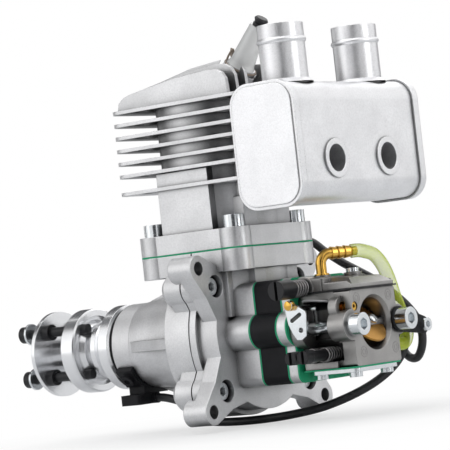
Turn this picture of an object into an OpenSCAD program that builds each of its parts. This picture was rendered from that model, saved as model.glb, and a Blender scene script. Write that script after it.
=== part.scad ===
// Single cylinder two-stroke petrol engine for a model aircraft
// Millimetres. X points forward to the propeller, Y to the engine's left, Z up along the cylinder.
// The origin is on the crank axis, in the plane of the four mounting lugs.

/* [Crankcase] */
// Distance between the mounting holes across the engine
lug_span_y = 74; // [70:0.5:80]
// Distance between the mounting holes up and down
lug_span_z = 56; // [54:0.5:60]
// Diameter of the mounting holes
lug_hole_d = 5.5; // [4.5:0.1:6.5]
// Radius of the round end of each lug
lug_r = 5.2; // [4.6:0.1:6.5]
// Length of the lugs along the crank
lug_length = 11.4; // [10:0.2:12]
// Radius of the rear flange of the case
case_r = 30; // [29:0.5:31]
// Radius of the main barrel of the case
barrel_r = 32; // [31:0.5:34]
// Depth of the rear half of the case
rear_depth = 12.2; // [12:0.1:13]
// Place of the front wall of the barrel
barrel_front = 30; // [29:0.5:32]
// Thickness of the gasket between the case halves
case_gasket_t = 0.5; // [0.3:0.1:0.8]
// Radius of the chamber the crank web turns in
chamber_r = 25.5; // [25:0.1:26]
// Radius of the nose where it leaves the barrel
nose_root_r = 20.5; // [20:0.1:21.5]
// Radius of the nose at its machined ring
nose_tip_r = 17.6; // [17.5:0.1:18.2]
// Place of the front end of the machined ring
nose_end = 65.1; // [64:0.1:66]
// Width of the machined ring
nose_ring_w = 9.1; // [8:0.1:10]
// Distance between the case screws across the engine
screw_span_y = 55; // [54:0.5:56]
// Distance between the case screws up and down
screw_span_z = 41.2; // [40:0.2:42]
// Thread diameter of the case screws
case_screw_d = 4; // [3:0.5:4]
// Length of the case screws under the head
case_screw_len = 13; // [12:0.5:14]

/* [Intake block] */
// Width of the intake passage block
intake_w = 38; // [37:0.2:39]
// Height of the intake passage block
intake_h = 41; // [40:0.2:41]
// Corner radius of the intake block
intake_corner = 3.5; // [2:0.1:4]
// Distance between the intake bolts
intake_bolt_span = 31; // [30.6:0.2:31.4]
// Thread diameter of the intake bolts
intake_bolt_d = 5; // [4:0.5:5]
// Radius of the round lobes round the intake bolts
lobe_r = 7; // [6.6:0.1:7.4]
// Depth of the intake block behind the lugs
intake_depth = 11.2; // [11:0.1:12]
// Thickness of each intake gasket
gasket_t = 0.8; // [0.6:0.1:1]
// Thickness of the insulator block
insulator_t = 12.2; // [11:0.1:13]
// Thickness of the metal plate ahead of the carburettor
plate_t = 4; // [3:0.1:4.4]
// Width of the reed passage
reed_w = 20; // [18:0.5:21]
// Height of the reed passage
reed_h = 24; // [22:0.5:25]

/* [Crank train] */
// Stroke of the piston
stroke = 29; // [28:0.5:29]
// Bore of the cylinder
bore = 39; // [38.6:0.1:39.2]
// Distance between the connecting rod eyes
rod_length = 53; // [52.8:0.1:53.2]
// Diameter of the main journals
journal_d = 15; // [14.6:0.1:15]
// Outer diameter of the main bearings
bearing_d = 32; // [31:0.2:32.2]
// Width of the main bearings
bearing_w = 9; // [8:0.1:9]
// Diameter of the crank pin
crank_pin_d = 10; // [9:0.2:10.4]
// Thickness of the crank web
web_t = 8.5; // [8:0.1:8.6]
// Radius of the crank web and counterweight
web_r = 23.5; // [23:0.1:23.8]
// Diameter of the wrist pin
wrist_pin_d = 9; // [8:0.2:9.4]
// Width of the connecting rod eyes
rod_eye_w = 8; // [7:0.2:8.2]
// Clearance of turning and sliding pairs
run_gap = 0.05; // [0.03:0.01:0.08]
// Clearance between parts that pass each other
free_gap = 0.3; // [0.25:0.05:0.35]

/* [Cylinder] */
// Place of the cylinder axis along the crank
cyl_x = 13.4; // [13.2:0.1:13.6]
// Height of the crankcase deck
deck_z = 34.5; // [34:0.1:35]
// Thickness of the crankcase deck
deck_t = 8.4; // [8:0.1:9]
// Thickness of the base gasket
base_gasket_t = 0.7; // [0.5:0.1:1]
// Thickness of the cylinder flange
flange_t = 7.7; // [7:0.1:8.5]
// Distance between the base bolts, both ways
base_bolt_span = 40.2; // [40:0.2:41]
// Thread diameter of the base bolts
base_bolt_d = 5; // [4:0.5:5]
// Length of the base and cylinder flanges along the crank
foot_x = 50.8; // [50:0.2:52]
// Width of the base and cylinder flanges
foot_y = 50; // [49:0.2:51]
// Outer radius of the cylinder barrel
cyl_r = 22.8; // [22.4:0.1:23.4]
// Width of the transfer port block
port_block_w = 46.4; // [46:0.2:48]
// Length of the transfer port block
port_block_l = 25.6; // [24:0.2:27]
// Height of the transfer port block over the flange
port_block_h = 24.6; // [22:0.2:26]
// Height of the highest fin
top_fin_z = 94.4; // [94:0.2:96]
// Distance between the fins
fin_pitch = 5.16; // [5:0.02:5.3]
// Number of evenly spaced fins
fin_count = 6; // [4:1:6]
// Drop of the lowest fin below the evenly spaced ones
low_fin_drop = 7.1; // [6:0.1:8]
// Thickness of each fin
fin_t = 1.4; // [1:0.1:1.8]
// Length of the fins along the crank
fin_l = 67.6; // [66:0.2:69]
// Width of the fins
fin_w = 50; // [48:0.5:52]
// Corner radius of the fins
fin_corner = 5; // [4:0.5:8]
// Diameter of the tool holes in the fins
tool_hole_d = 7; // [6:0.2:8]
// Number of head fins on each side of the plug
head_fin_pairs = 3; // [2:1:3]
// Distance between the head fins
head_fin_pitch = 6.4; // [6:0.1:6.6]
// Thickness of each head fin
head_fin_t = 1.8; // [1.4:0.1:2.2]
// Height of the outer head fins over the highest fin
head_fin_h = 10.6; // [9:0.1:12]

/* [Spark plug] */
// Lean of the plug to the rear in degrees
plug_lean = 37; // [34:0.5:40]
// Place of the plug seat along the crank
plug_seat_x = 4; // [3.5:0.1:4.5]
// Height of the plug seat
plug_seat_z = 97; // [96.5:0.1:98]
// Thread diameter of the plug
plug_thread_d = 10; // [9:0.2:10.4]
// Thread reach of the plug
plug_reach = 9.5; // [9:0.1:10]
// Width of the plug hexagon across its flats
plug_hex = 14; // [13:0.2:14.4]
// Length of the white ceramic above the hexagon
ceramic_len = 18; // [13:0.2:19]

/* [Muffler] */
// Length of the muffler across the engine
muffler_w = 85; // [80:1:90]
// Place of the rear wall of the muffler
muffler_rear = -57; // [-59:0.2:-56]
// Place of the front wall of the muffler
muffler_front = -28.4; // [-29:0.1:-28.2]
// Height of the muffler's underside
muffler_low = 47.8; // [47:0.1:48.4]
// Height of the muffler's top
muffler_top = 94.4; // [93:0.2:96]
// Corner radius of the muffler section
muffler_corner = 8; // [6:0.2:9]
// Wall of the muffler
muffler_wall = 1.2; // [0.8:0.1:1.6]
// Depth of the end caps
cap_depth = 4; // [3:0.2:5]
// Distance between the muffler bolts
muffler_bolt_span = 34.8; // [34:0.2:36]
// Height of the muffler bolts
exhaust_z = 64; // [63.6:0.1:65]
// Outer diameter of the tool tubes
tube_d = 14; // [13:0.2:15]
// Inner diameter of the tool tubes
tube_bore = 10.7; // [10:0.1:11]
// Distance between the outlet stacks
stack_span = 49.2; // [46:0.2:52]
// Outer diameter of the outlet stacks
stack_d = 18; // [16:0.2:19]
// Wall of the outlet stacks
stack_wall = 1.2; // [0.8:0.1:1.6]
// Height of the stack rims
stack_top = 117.4; // [115:0.2:121]
// Distance of the bead below the rim
bead_drop = 6.5; // [5:0.1:8]

/* [Carburettor] */
// Bore of the carburettor
carb_bore = 19.6; // [18:0.2:20]
// Length of the carburettor body
carb_l = 24.8; // [24.6:0.1:25.2]
// Width of the carburettor body
carb_w = 30; // [29.6:0.2:30.4]
// Height of the body top over its bore axis
carb_up = 13.4; // [13:0.1:14]
// Depth of the body underside below its bore axis
carb_down = 16; // [15.6:0.1:16.4]
// Place of the throttle shaft behind the body's front face
throttle_in = 4.8; // [4.6:0.1:5]
// Place of the choke shaft behind the body's front face
choke_in = 19.8; // [19.6:0.1:20]
// Diameter of the throttle and choke shafts
shaft_d = 4; // [3.4:0.1:4.2]
// Thickness of the butterfly plates
plate_disc_t = 1; // [0.8:0.1:1.2]
// Resting angle of the choke plate from shut, in degrees
choke_rest = 40; // [36:1:44]
// Thickness of the pump cover
pump_cover_t = 5.4; // [5:0.1:6]
// Thickness of the metering cover
metering_cover_t = 1.6; // [1.2:0.1:2]
// Diameter of the mixture screw heads
needle_head_d = 5.2; // [4.6:0.1:5.4]
// Length of the mixture screws outside the body
needle_out = 23.5; // [21:0.5:25]
// Distance between the mixture screws
needle_pitch = 5.8; // [5.8:0.1:6.4]
// Diameter of the idle screw head
idle_head_d = 7.6; // [7:0.1:8]
// Length of the idle screw outside its boss
idle_out = 18; // [16:0.5:19]
// Outer diameter of the fuel elbow
elbow_d = 4.2; // [3.6:0.1:4.6]
// Outer diameter of the fuel tube
fuel_tube_d = 5.4; // [5.2:0.1:6]

/* [Propeller drive] */
// Radius of the hub and plate
hub_r = 17.5; // [16:0.1:18.5]
// Place of the hub's rear face
hub_rear = 67.2; // [66.6:0.1:68]
// Width of the hub's rear ring
hub_ring_w = 6.1; // [5:0.1:7]
// Radius of the hub's neck
neck_r = 11; // [10:0.2:12]
// Place of the propeller face of the hub
prop_seat = 93.5; // [92:0.1:95]
// Thickness of the hub's flange
hub_flange_t = 7.2; // [6:0.1:8]
// Gap that the propeller fills
prop_gap = 13.9; // [12:0.1:16]
// Thickness of the front plate
front_plate_t = 2.4; // [2:0.1:3]
// Room between the plate and the washers, as the bolts are loose without a propeller
bolt_slack = 4.9; // [0:0.1:6]
// Distance between the propeller bolts, both ways
prop_bolt_span = 19; // [18:0.2:20]
// Thread diameter of the propeller bolts
prop_bolt_d = 4; // [3:0.5:4]
// Radius of the centre spacer
spacer_r = 7.5; // [7:0.1:8]
// Diameter of the thin front end of the crankshaft
nose_d = 10; // [8:0.2:11]

/* [Ignition pickup] */
// Diameter of the pickup lead
lead_d = 3.4; // [3:0.1:3.6]
// Width of the pickup bracket along the crank
bracket_w = 8; // [7:0.2:8.6]
// Length of the pickup block
sensor_l = 10.6; // [10:0.1:11.4]
// Height of the pickup block
sensor_h = 4.2; // [4:0.1:4.6]

/* [Hidden] */
$fn = 64;

cast = [0.74, 0.75, 0.77];
machined = [0.86, 0.87, 0.88];
steel = [0.62, 0.63, 0.65];
zinc = [0.78, 0.82, 0.86];
brass = [0.80, 0.60, 0.25];
bronze = [0.62, 0.43, 0.16];
black = [0.07, 0.07, 0.08];
green = [0.05, 0.55, 0.33];

eps = 0.01;
screw_play = 0.15;
// Case stations along the crank
front_start = rear_depth + case_gasket_t;
nose_rib_w = 4.2;
// Underside of the pickup's saddle, and the lean of its screw
sensor_top = 19.6;
bracket_turn = 42;
chamber_rear = 3.2;
chamber_front = cyl_x + rod_eye_w / 2 + 1 + web_t + 0.7;
rear_bearing_x = chamber_front;
front_bearing_x = nose_end - nose_ring_w - bearing_w + 2;
seal_x = front_bearing_x + bearing_w;
seal_w = 5;
nose_ring_x = nose_end - nose_ring_w;
screw_boss_r = 6.2;
screw_counterbore_d = case_screw_d * 1.75 + 2;
screw_counterbore = 6.2;
boss_end = screw_counterbore + case_screw_len + 1.8;
throw = stroke / 2;

// Cylinder stations
flange_low = deck_z + base_gasket_t;
flange_top = flange_low + flange_t;
bolt_boss_r = 6.3;
sleeve_r = bore / 2 + 1.8;
sleeve_low = 27;
piston_r = bore / 2 - run_gap;
wrist_z = rod_length - throw;
// Height of the rod at its full lean, and the outside of its big end
rod_reach = sqrt(pow(rod_length, 2) - pow(throw, 2));
big_end_r = crank_pin_d / 2 + 3.2;
crown_over_pin = 15.3;
skirt_under_pin = 13.3;
bore_top = wrist_z + stroke + crown_over_pin + 0.8;
dome_top = bore_top + 4;
head_z = top_fin_z + fin_t / 2;
exhaust_face = muffler_front + gasket_t;
exhaust_flange_t = 5;

// Intake stations, each face worked out from the one before
block_rear = -intake_depth;
insulator_front = block_rear - gasket_t;
insulator_rear = insulator_front - insulator_t;
plate_front = insulator_rear - gasket_t;
plate_rear = plate_front - plate_t;
carb_front = plate_rear - gasket_t;
carb_rear = carb_front - carb_l;
throttle_x = carb_front - throttle_in;
choke_x = carb_front - choke_in;
lever_y = 23.4;
lobe_out = 2;
// Levers sit in side pockets inside the bolts and step out over them
pocket_y = carb_bore / 2 + 1.4;
leg_y = pocket_y + free_gap;
leg_t = 1.2;
pocket_top = 10.3;
tab_r = 8.8;
tab_w = 3;
ear_front = 5.2;
needle_z = -10.4;
needle_h_x = carb_front - 12;
needle_l_x = needle_h_x + needle_pitch;
needle_face_y = 32.5;
needle_seat_y = needle_face_y - needle_out;
idle_x = carb_front - 3.6;
idle_head_l = 9;
idle_z = 16;
idle_seat_y = carb_w / 2 + 0.4;
pump_low = carb_up + 0.6;
pump_top = pump_low + pump_cover_t;
metering_top = -carb_down - 0.6;
metering_low = metering_top - metering_cover_t;
elbow_x = carb_front - 7;
elbow_y = 7;

// Drive stations
hub_flange_rear = prop_seat - hub_flange_t;
plate_x = prop_seat + prop_gap;
plate_end = plate_x + front_plate_t;

// Points of the pickup lead, chosen by hand
lead_points = [
  [54.5, 4, -21.7], [51, 4.2, -22], [46, 4.7, -23], [42, 5.1, -24.2], [38, 5.5, -26.2], [33, 6, -29.4],
  [28.5, 6.3, -32.1], [24, 6.5, -33.4], [14, 5, -34], [3, 2, -34],
  [-8, -3, -33.3], [-19, -10, -31.5], [-29, -19, -27.5], [-36, -27, -22.5], [-41, -32.5, -16.5],
  [-43.5, -35.2, -10], [-43.2, -36, -4], [-40.3, -37.5, 0.3], [-36.5, -40.5, -0.6], [-34.5, -43, -5.5],
  [-35.5, -43.8, -11.5], [-39.5, -42.8, -16], [-44.5, -41, -16.4], [-48, -39.8, -12.5], [-49.4, -39, -7],
  [-48.8, -37.6, -1], [-45.6, -35.8, 5], [-40, -35, 10.5], [-33, -34.8, 16], [-25, -34.8, 20.6],
  [-17, -35, 25], [-9, -35.8, 30], [-3, -36.5, 34.2], [3, -37, 36], [8.5, -37.6, 36.2],
  [14, -38.3, 33.8], [17.6, -39, 29.6], [19.2, -39.6, 24], [20.2, -40.5, 17], [20.3, -40.6, 12], [20.3, -40.6, 8]
];

// Cylinder along X from x0 to x1
module xcyl(x0, x1, r, y = 0, z = 0, r2 = -1) {
  translate([x0, y, z])
    rotate([0, 90, 0])
      cylinder(h = x1 - x0, r1 = r, r2 = r2 < 0 ? r : r2);
}

// Cylinder along Y from y0 to y1
module ycyl(y0, y1, r, x = 0, z = 0, r2 = -1) {
  translate([x, y0, z])
    rotate([-90, 0, 0])
      cylinder(h = y1 - y0, r1 = r, r2 = r2 < 0 ? r : r2);
}

// Cylinder along Z from z0 to z1
module zcyl(z0, z1, r, x = 0, y = 0, r2 = -1) {
  translate([x, y, z0])
    cylinder(h = z1 - z0, r1 = r, r2 = r2 < 0 ? r : r2);
}

// Outline drawn in Y and Z, carried along X
module xprism(x0, x1) {
  translate([x0, 0, 0])
    rotate([90, 0, 90])
      linear_extrude(x1 - x0)
        children();
}

// Outline drawn in X and Z, carried along Y
module yprism(y0, y1) {
  translate([0, y1, 0])
    rotate([90, 0, 0])
      linear_extrude(y1 - y0)
        children();
}

// Rectangle with round corners, from a low corner to a high corner
module round_rect(low, high, r) {
  translate([low[0] + r, low[1]])
    square([high[0] - low[0] - 2 * r, high[1] - low[1]]);
  translate([low[0], low[1] + r])
    square([high[0] - low[0], high[1] - low[1] - 2 * r]);
  for (x = [low[0] + r, high[0] - r], y = [low[1] + r, high[1] - r])
    translate([x, y])
      circle(r);
}

// Two circles joined by their outer tangents
module link_2d(p1, r1, p2, r2) {
  step = p2 - p1;
  turn = atan2(step[1], step[0]);
  open = acos((r1 - r2) / norm(step));
  points = [
    for (s = [1, -1]) p1 + r1 * [cos(turn + s * open), sin(turn + s * open)],
    for (s = [-1, 1]) p2 + r2 * [cos(turn + s * open), sin(turn + s * open)]
  ];
  polygon(points);
  translate(p1)
    circle(r1);
  translate(p2)
    circle(r2);
}

// Socket screw with its head to the rear, seated on the plane x = seat
module xscrew(seat, d, len, y, z, head_h = -1) {
  height = head_h < 0 ? d : head_h;
  difference() {
    union() {
      xcyl(seat, seat + len, d / 2, y, z);
      xcyl(seat - height, seat, d * 0.87, y, z);
    }
    translate([seat - height - eps, y, z])
      rotate([0, 90, 0])
        cylinder(h = height * 0.6, r = d * 0.48, $fn = 6);
  }
}

// Socket screw with its head up, seated on the plane z = seat
module zscrew(seat, d, len, x, y, head_h = -1) {
  height = head_h < 0 ? d : head_h;
  difference() {
    union() {
      zcyl(seat - len, seat, d / 2, x, y);
      zcyl(seat, seat + height, d * 0.85, x, y);
    }
    translate([x, y, seat + height * 0.4])
      cylinder(h = d, r = d * 0.48, $fn = 6);
  }
}

// Coil spring as a stack of slanted rings would show, made of true rings along Y
module yspring(y0, y1, r, wire, turns, x, z) {
  pitch = (y1 - y0 - wire) / (turns - 1);
  for (i = [0:turns - 1])
    translate([x, y0 + wire / 2 + i * pitch, z])
      rotate([90, 0, 0])
        rotate_extrude()
          translate([r, 0])
            circle(wire / 2, $fn = 16);
  for (side = [-1, 1])
    translate([x + side * r - wire * 0.3, y0 + wire / 2, z - wire * 0.3])
      cube([wire * 0.6, y1 - y0 - wire, wire * 0.6]);
}

// Outline of the base and the cylinder flange
module foot_2d() {
  translate([cyl_x, 0]) {
    square([foot_x - 4, foot_y], center = true);
    square([foot_x, foot_y - 4], center = true);
    for (x = [-1, 1], y = [-1, 1])
      translate([x, y] * base_bolt_span / 2)
        circle(bolt_boss_r);
  }
}

module base_bolt_places() {
  for (x = [-1, 1], y = [-1, 1])
    translate([cyl_x + x * base_bolt_span / 2, y * base_bolt_span / 2, 0])
      children();
}

// Outline of the case flange with its lug arms
module lug_2d() {
  circle(case_r);
  for (y = [-1, 1], z = [-1, 1]) {
    link_2d([y * lug_span_y / 2, z * lug_span_z / 2], lug_r,
      [y * screw_span_y / 2, z * screw_span_z / 2], screw_boss_r + 1.6);
    link_2d([y * screw_span_y / 2, z * screw_span_z / 2], screw_boss_r + 1.6,
      [y * 12, z * 9], 16);
  }
}

// Outline of the intake block and everything stacked on it
module intake_2d(inset = 0) {
  half = [intake_w / 2 - inset, intake_h / 2 - inset];
  round_rect([-half[0], -half[1]], half, intake_corner);
  for (side = [-1, 1])
    translate([side * (intake_bolt_span / 2 + lobe_out), 1])
      circle(lobe_r - inset);
}

module intake_bolt_holes(x0, x1, play = screw_play) {
  for (side = [-1, 1])
    xcyl(x0, x1, intake_bolt_d / 2 + play, side * intake_bolt_span / 2, 0);
}

// Solid shape of both case halves before they are parted
module case_solid() {
  xprism(0, lug_length * 0.62)
    lug_2d();
  for (y = [-1, 1], z = [-1, 1])
    xcyl(0, lug_length, lug_r, y * lug_span_y / 2, z * lug_span_z / 2);
  xcyl(0, rear_depth * 0.75, case_r);
  xcyl(rear_depth * 0.75, barrel_front - 5, barrel_r);
  xcyl(barrel_front - 5, barrel_front, barrel_r, r2 = nose_root_r + 2);
  xcyl(barrel_front, nose_ring_x, nose_root_r, r2 = nose_tip_r);
  xcyl(nose_ring_x, nose_end, nose_tip_r - 0.2);
  for (y = [-1, 1], z = [-1, 1]) {
    xcyl(rear_depth * 0.5, boss_end, screw_boss_r + 0.6, y * screw_span_y / 2, z * screw_span_z / 2);
    xcyl(boss_end, boss_end + 2, screw_boss_r + 0.6, y * screw_span_y / 2, z * screw_span_z / 2,
      r2 = screw_boss_r - 1);
  }
  // Webs that tie the screw bosses to the barrel
  for (y = [-1, 1], z = [-1, 1])
    xprism(rear_depth * 0.5, boss_end - 1)
      link_2d([0, 0], barrel_r - 12, [y * screw_span_y / 2, z * screw_span_z / 2], screw_boss_r);
  nose_ribs();
  xprism(-intake_depth, 1)
    intake_2d();
  deck_solid();
}

// Long tapered ribs along the nose
module nose_ribs() {
  for (turn = [0:90:270])
    rotate([turn, 0, 0])
      translate([0, -nose_rib_w / 2, 0])
        rotate([90, 0, 0])
          mirror([0, 0, 1])
            linear_extrude(nose_rib_w)
              polygon([[barrel_front - 2, 0], [nose_ring_x - 1, 0],
                [nose_ring_x - 1, nose_tip_r], [barrel_front - 2, nose_root_r + 6]]);
}

// Flange under the cylinder, its neck and its corner columns
module deck_solid() {
  translate([0, 0, deck_z - deck_t])
    linear_extrude(deck_t)
      foot_2d();
  column_low = deck_z - deck_t - 0.2;
  base_bolt_places()
    zcyl(column_low, deck_z, bolt_boss_r);
  translate([cyl_x, 0, 0])
    zcyl(8, deck_z - deck_t + 1, sleeve_r + 3);
  // Neck between the flange and the intake block
  translate([-intake_depth + 1.4, -intake_w / 2 + 5, 12])
    cube([foot_x - 12, intake_w - 10, deck_z - deck_t - 11]);
  translate([-2, -foot_y / 2 + 3, 8])
    cube([foot_x - 22, foot_y - 6, deck_z - deck_t - 7]);
}

// Room for the big end on both sides, at every height of the piston
module rod_sweep_2d() {
  for (side = [-1, 1])
    link_2d([side * throw, wrist_z - rod_reach], big_end_r + free_gap,
      [side * throw, wrist_z + stroke - rod_reach], big_end_r + free_gap);
}

// Everything that is bored out of the case
module case_hollow() {
  xcyl(chamber_rear, chamber_front, chamber_r);
  xprism(cyl_x - rod_eye_w / 2 - free_gap, cyl_x + rod_eye_w / 2 + free_gap)
    rod_sweep_2d();
  xcyl(rear_bearing_x, rear_bearing_x + bearing_w, bearing_d / 2);
  xcyl(rear_bearing_x, front_bearing_x, bearing_d / 2 - 3);
  xcyl(front_bearing_x, nose_end + 1, bearing_d / 2 - 1.8);
  zcyl(0, deck_z + 1, sleeve_r + 0.15, cyl_x);
  for (y = [-1, 1], z = [-1, 1]) {
    xcyl(-1, screw_counterbore + case_screw_len + 1, case_screw_d / 2 + screw_play,
      y * screw_span_y / 2, z * screw_span_z / 2);
    xcyl(-1, screw_counterbore, screw_counterbore_d / 2, y * screw_span_y / 2, z * screw_span_z / 2);
    xcyl(-1, lug_length + 1, lug_hole_d / 2, y * lug_span_y / 2, z * lug_span_z / 2);
  }
  // Passage of the reed cage
  translate([-intake_depth - 1, -reed_w / 2, -reed_h / 2])
    cube([intake_depth + chamber_rear + 2, reed_w, reed_h]);
  intake_bolt_holes(-intake_depth - 1, -2);
  base_bolt_places()
    zcyl(deck_z - deck_t + 0.8, deck_z + 1, base_bolt_d / 2 + screw_play);
}

module rear_crankcase() {
  color(cast)
    intersection() {
      difference() {
        case_solid();
        case_hollow();
      }
      translate([-50, -60, -60])
        cube([50 + rear_depth, 120, 120]);
    }
}

module front_crankcase() {
  color(cast)
    intersection() {
      difference() {
        case_solid();
        case_hollow();
      }
      translate([front_start, -60, -60])
        cube([80, 120, 120]);
    }
}

module case_gasket() {
  color(green)
    xprism(rear_depth, front_start)
      difference() {
        union() {
          circle(barrel_r - 0.3);
          for (y = [-1, 1], z = [-1, 1])
            translate([y * screw_span_y / 2, z * screw_span_z / 2])
              circle(screw_boss_r);
        }
        circle(chamber_r);
        rod_sweep_2d();
        translate([-60, 21])
          square([120, 30]);
        for (y = [-1, 1], z = [-1, 1])
          translate([y * screw_span_y / 2, z * screw_span_z / 2])
            circle(case_screw_d / 2 + screw_play);
        translate([-sleeve_r, 0])
          square([2 * sleeve_r, 30]);
      }
}

module case_screws() {
  color(zinc)
    for (y = [-1, 1], z = [-1, 1])
      xscrew(screw_counterbore, case_screw_d, case_screw_len, y * screw_span_y / 2, z * screw_span_z / 2);
}

// Ball bearing ring with its groove, and the balls with the outer one
module bearing_ring(x, r_in, r_out) {
  ball_r = 2.4;
  pitch_r = (journal_d / 2 + bearing_seat_r(x)) / 2;
  difference() {
    xcyl(x, x + bearing_w, r_out);
    xcyl(x - 1, x + bearing_w + 1, r_in);
    translate([x + bearing_w / 2, 0, 0])
      rotate([0, 90, 0])
        rotate_extrude()
          translate([pitch_r, 0])
            circle(ball_r + 0.1);
  }
}

function bearing_seat_r(x) = x == rear_bearing_x ? bearing_d / 2 : bearing_d / 2 - 1.8;

module bearing_outer_rings() {
  color(steel)
    for (x = [rear_bearing_x, front_bearing_x]) {
      pitch_r = (journal_d / 2 + bearing_seat_r(x)) / 2;
      bearing_ring(x, pitch_r + 1.5, bearing_seat_r(x));
      for (i = [0:7])
        rotate([i * 45, 0, 0])
          translate([x + bearing_w / 2, 0, pitch_r])
            sphere(2.4, $fn = 24);
    }
}

module bearing_inner_rings() {
  color(machined)
    for (x = [rear_bearing_x, front_bearing_x]) {
      pitch_r = (journal_d / 2 + bearing_seat_r(x)) / 2;
      bearing_ring(x, journal_d / 2, pitch_r - 1.5);
    }
}

module shaft_seal() {
  color(black)
    difference() {
      xcyl(seal_x, seal_x + seal_w, bearing_d / 2 - 1.8);
      xcyl(seal_x - 1, seal_x + seal_w + 1, journal_d / 2 + run_gap);
      xcyl(seal_x + 2, seal_x + seal_w + 1, journal_d / 2 + 3.2);
    }
}

// One thin cooling fin with its tool holes
module fin(z) {
  translate([0, 0, z - fin_t / 2])
    linear_extrude(fin_t)
      difference() {
        round_rect([cyl_x - fin_l / 2, -fin_w / 2], [cyl_x + fin_l / 2, fin_w / 2], fin_corner);
        for (x = [-1, 1], y = [-1, 1])
          translate([cyl_x + x * base_bolt_span / 2, y * base_bolt_span / 2])
            circle(tool_hole_d / 2);
      }
}

// Lengthwise fin on the head, taller towards the middle
module head_fin(y, rise) {
  top = head_z + rise;
  rear = cyl_x - 24.2;
  yprism(y - head_fin_t / 2, y + head_fin_t / 2) {
    polygon([
      [rear, head_z - eps], [cyl_x + 32.6, head_z - eps], [cyl_x + 31.6, head_z + rise * 0.32],
      [cyl_x + 29, head_z + rise * 0.5], [cyl_x + 25.5, head_z + rise * 0.6],
      [cyl_x + 3, head_z + rise * 0.9], [cyl_x - 15, top], [cyl_x - 19, top - rise * 0.03],
      [cyl_x - 22, top - rise * 0.16], [cyl_x - 23.6, top - rise * 0.4]
    ]);
  }
}

// Places things along the leaning plug axis, which is Z here
module on_plug() {
  translate([plug_seat_x, 0, plug_seat_z])
    rotate([0, -plug_lean, 0])
      children();
}

module cylinder_body() {
  translate([0, 0, flange_low])
    linear_extrude(flange_t)
      foot_2d();
  zcyl(sleeve_low, head_z, cyl_r, cyl_x);
  translate([cyl_x + 1 - port_block_l / 2, -port_block_w / 2, flange_low])
    cube([port_block_l, port_block_w, flange_t + port_block_h]);
  for (i = [0:fin_count - 1])
    fin(top_fin_z - i * fin_pitch);
  fin(top_fin_z - (fin_count - 1) * fin_pitch - low_fin_drop);
  for (i = [1:head_fin_pairs], side = [-1, 1])
    head_fin(side * i * head_fin_pitch, head_fin_h * (1 + (head_fin_pairs - i) * 0.22));
  on_plug()
    translate([0, 0, -14])
      cylinder(h = 14, r = plug_hex * 0.62);
  // Exhaust duct and its flange
  translate([exhaust_face, -13.5, exhaust_z - 9.5])
    cube([cyl_x - exhaust_face, 27, 19]);
  yprism(-muffler_bolt_span / 2 - 7, muffler_bolt_span / 2 + 7)
    round_rect([exhaust_face, exhaust_z - 9.5], [exhaust_face + exhaust_flange_t, exhaust_z + 9.5], 1.4);
  // Rear wall that carries the transfer passages
  translate([-8.4, -15, flange_low])
    cube([10, 30, flange_t + 12]);
}

module finned_cylinder() {
  color(cast)
    difference() {
      union() {
        difference() {
          cylinder_body();
          zcyl(0, flange_low, 60, cyl_x);
        }
        zcyl(sleeve_low, flange_low + 1, sleeve_r, cyl_x);
      }
      zcyl(sleeve_low - 1, bore_top, bore / 2, cyl_x);
      zcyl(bore_top, dome_top, bore / 2, cyl_x, 0, r2 = 9);
      base_bolt_places()
        zcyl(0, flange_top + 1, base_bolt_d / 2 + screw_play);
      base_bolt_places()
        zcyl(flange_top, flange_top + base_bolt_d + 1.5, base_bolt_d * 0.85 + 0.4);
      // Exhaust passage
      translate([exhaust_face - 1, -11, exhaust_z - 6])
        cube([cyl_x - exhaust_face, 22, 12]);
      for (side = [-1, 1])
        xcyl(exhaust_face - 1, exhaust_face + exhaust_flange_t + 1, 2.5 + screw_play,
          side * muffler_bolt_span / 2, exhaust_z);
      // Transfer passages beside the sleeve
      for (side = [-1, 1])
        translate([cyl_x - 5, side > 0 ? bore / 2 - 3 : -bore / 2 - 1.2, flange_top + 5])
          cube([10, 4.2, 9]);
      on_plug()
        translate([0, 0, -plug_reach - 6])
          cylinder(h = plug_reach + 7, r = plug_thread_d / 2 + screw_play);
      on_plug()
        cylinder(h = 30, r = plug_hex * 0.62 + 0.2);
    }
}

module base_gasket() {
  color(green)
    translate([0, 0, deck_z])
      linear_extrude(base_gasket_t)
        difference() {
          foot_2d();
          translate([cyl_x, 0])
            circle(sleeve_r + 0.15);
          for (x = [-1, 1], y = [-1, 1])
            translate([cyl_x + x * base_bolt_span / 2, y * base_bolt_span / 2])
              circle(base_bolt_d / 2 + screw_play);
        }
}

module cylinder_bolts() {
  color(zinc)
    for (x = [-1, 1], y = [-1, 1])
      zscrew(flange_top, base_bolt_d, flange_t + base_gasket_t + deck_t - 1.4,
        cyl_x + x * base_bolt_span / 2, y * base_bolt_span / 2);
}

module plug_shell() {
  color(steel)
    on_plug()
      difference() {
        union() {
          translate([0, 0, -plug_reach])
            cylinder(h = plug_reach + 1, r = plug_thread_d / 2);
          cylinder(h = 1.6, r = plug_hex * 0.56);
          translate([0, 0, 1.6])
            cylinder(h = 2.4, r = plug_hex * 0.46);
          translate([0, 0, 4])
            cylinder(h = 7, r = plug_hex / sqrt(3), $fn = 6);
          translate([0, 0, 11])
            cylinder(h = 1.6, r = plug_hex * 0.44);
        }
        translate([0, 0, -plug_reach - 1])
          cylinder(h = plug_reach + 20, r = plug_hex * 0.25 + 0.02);
      }
}

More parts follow.
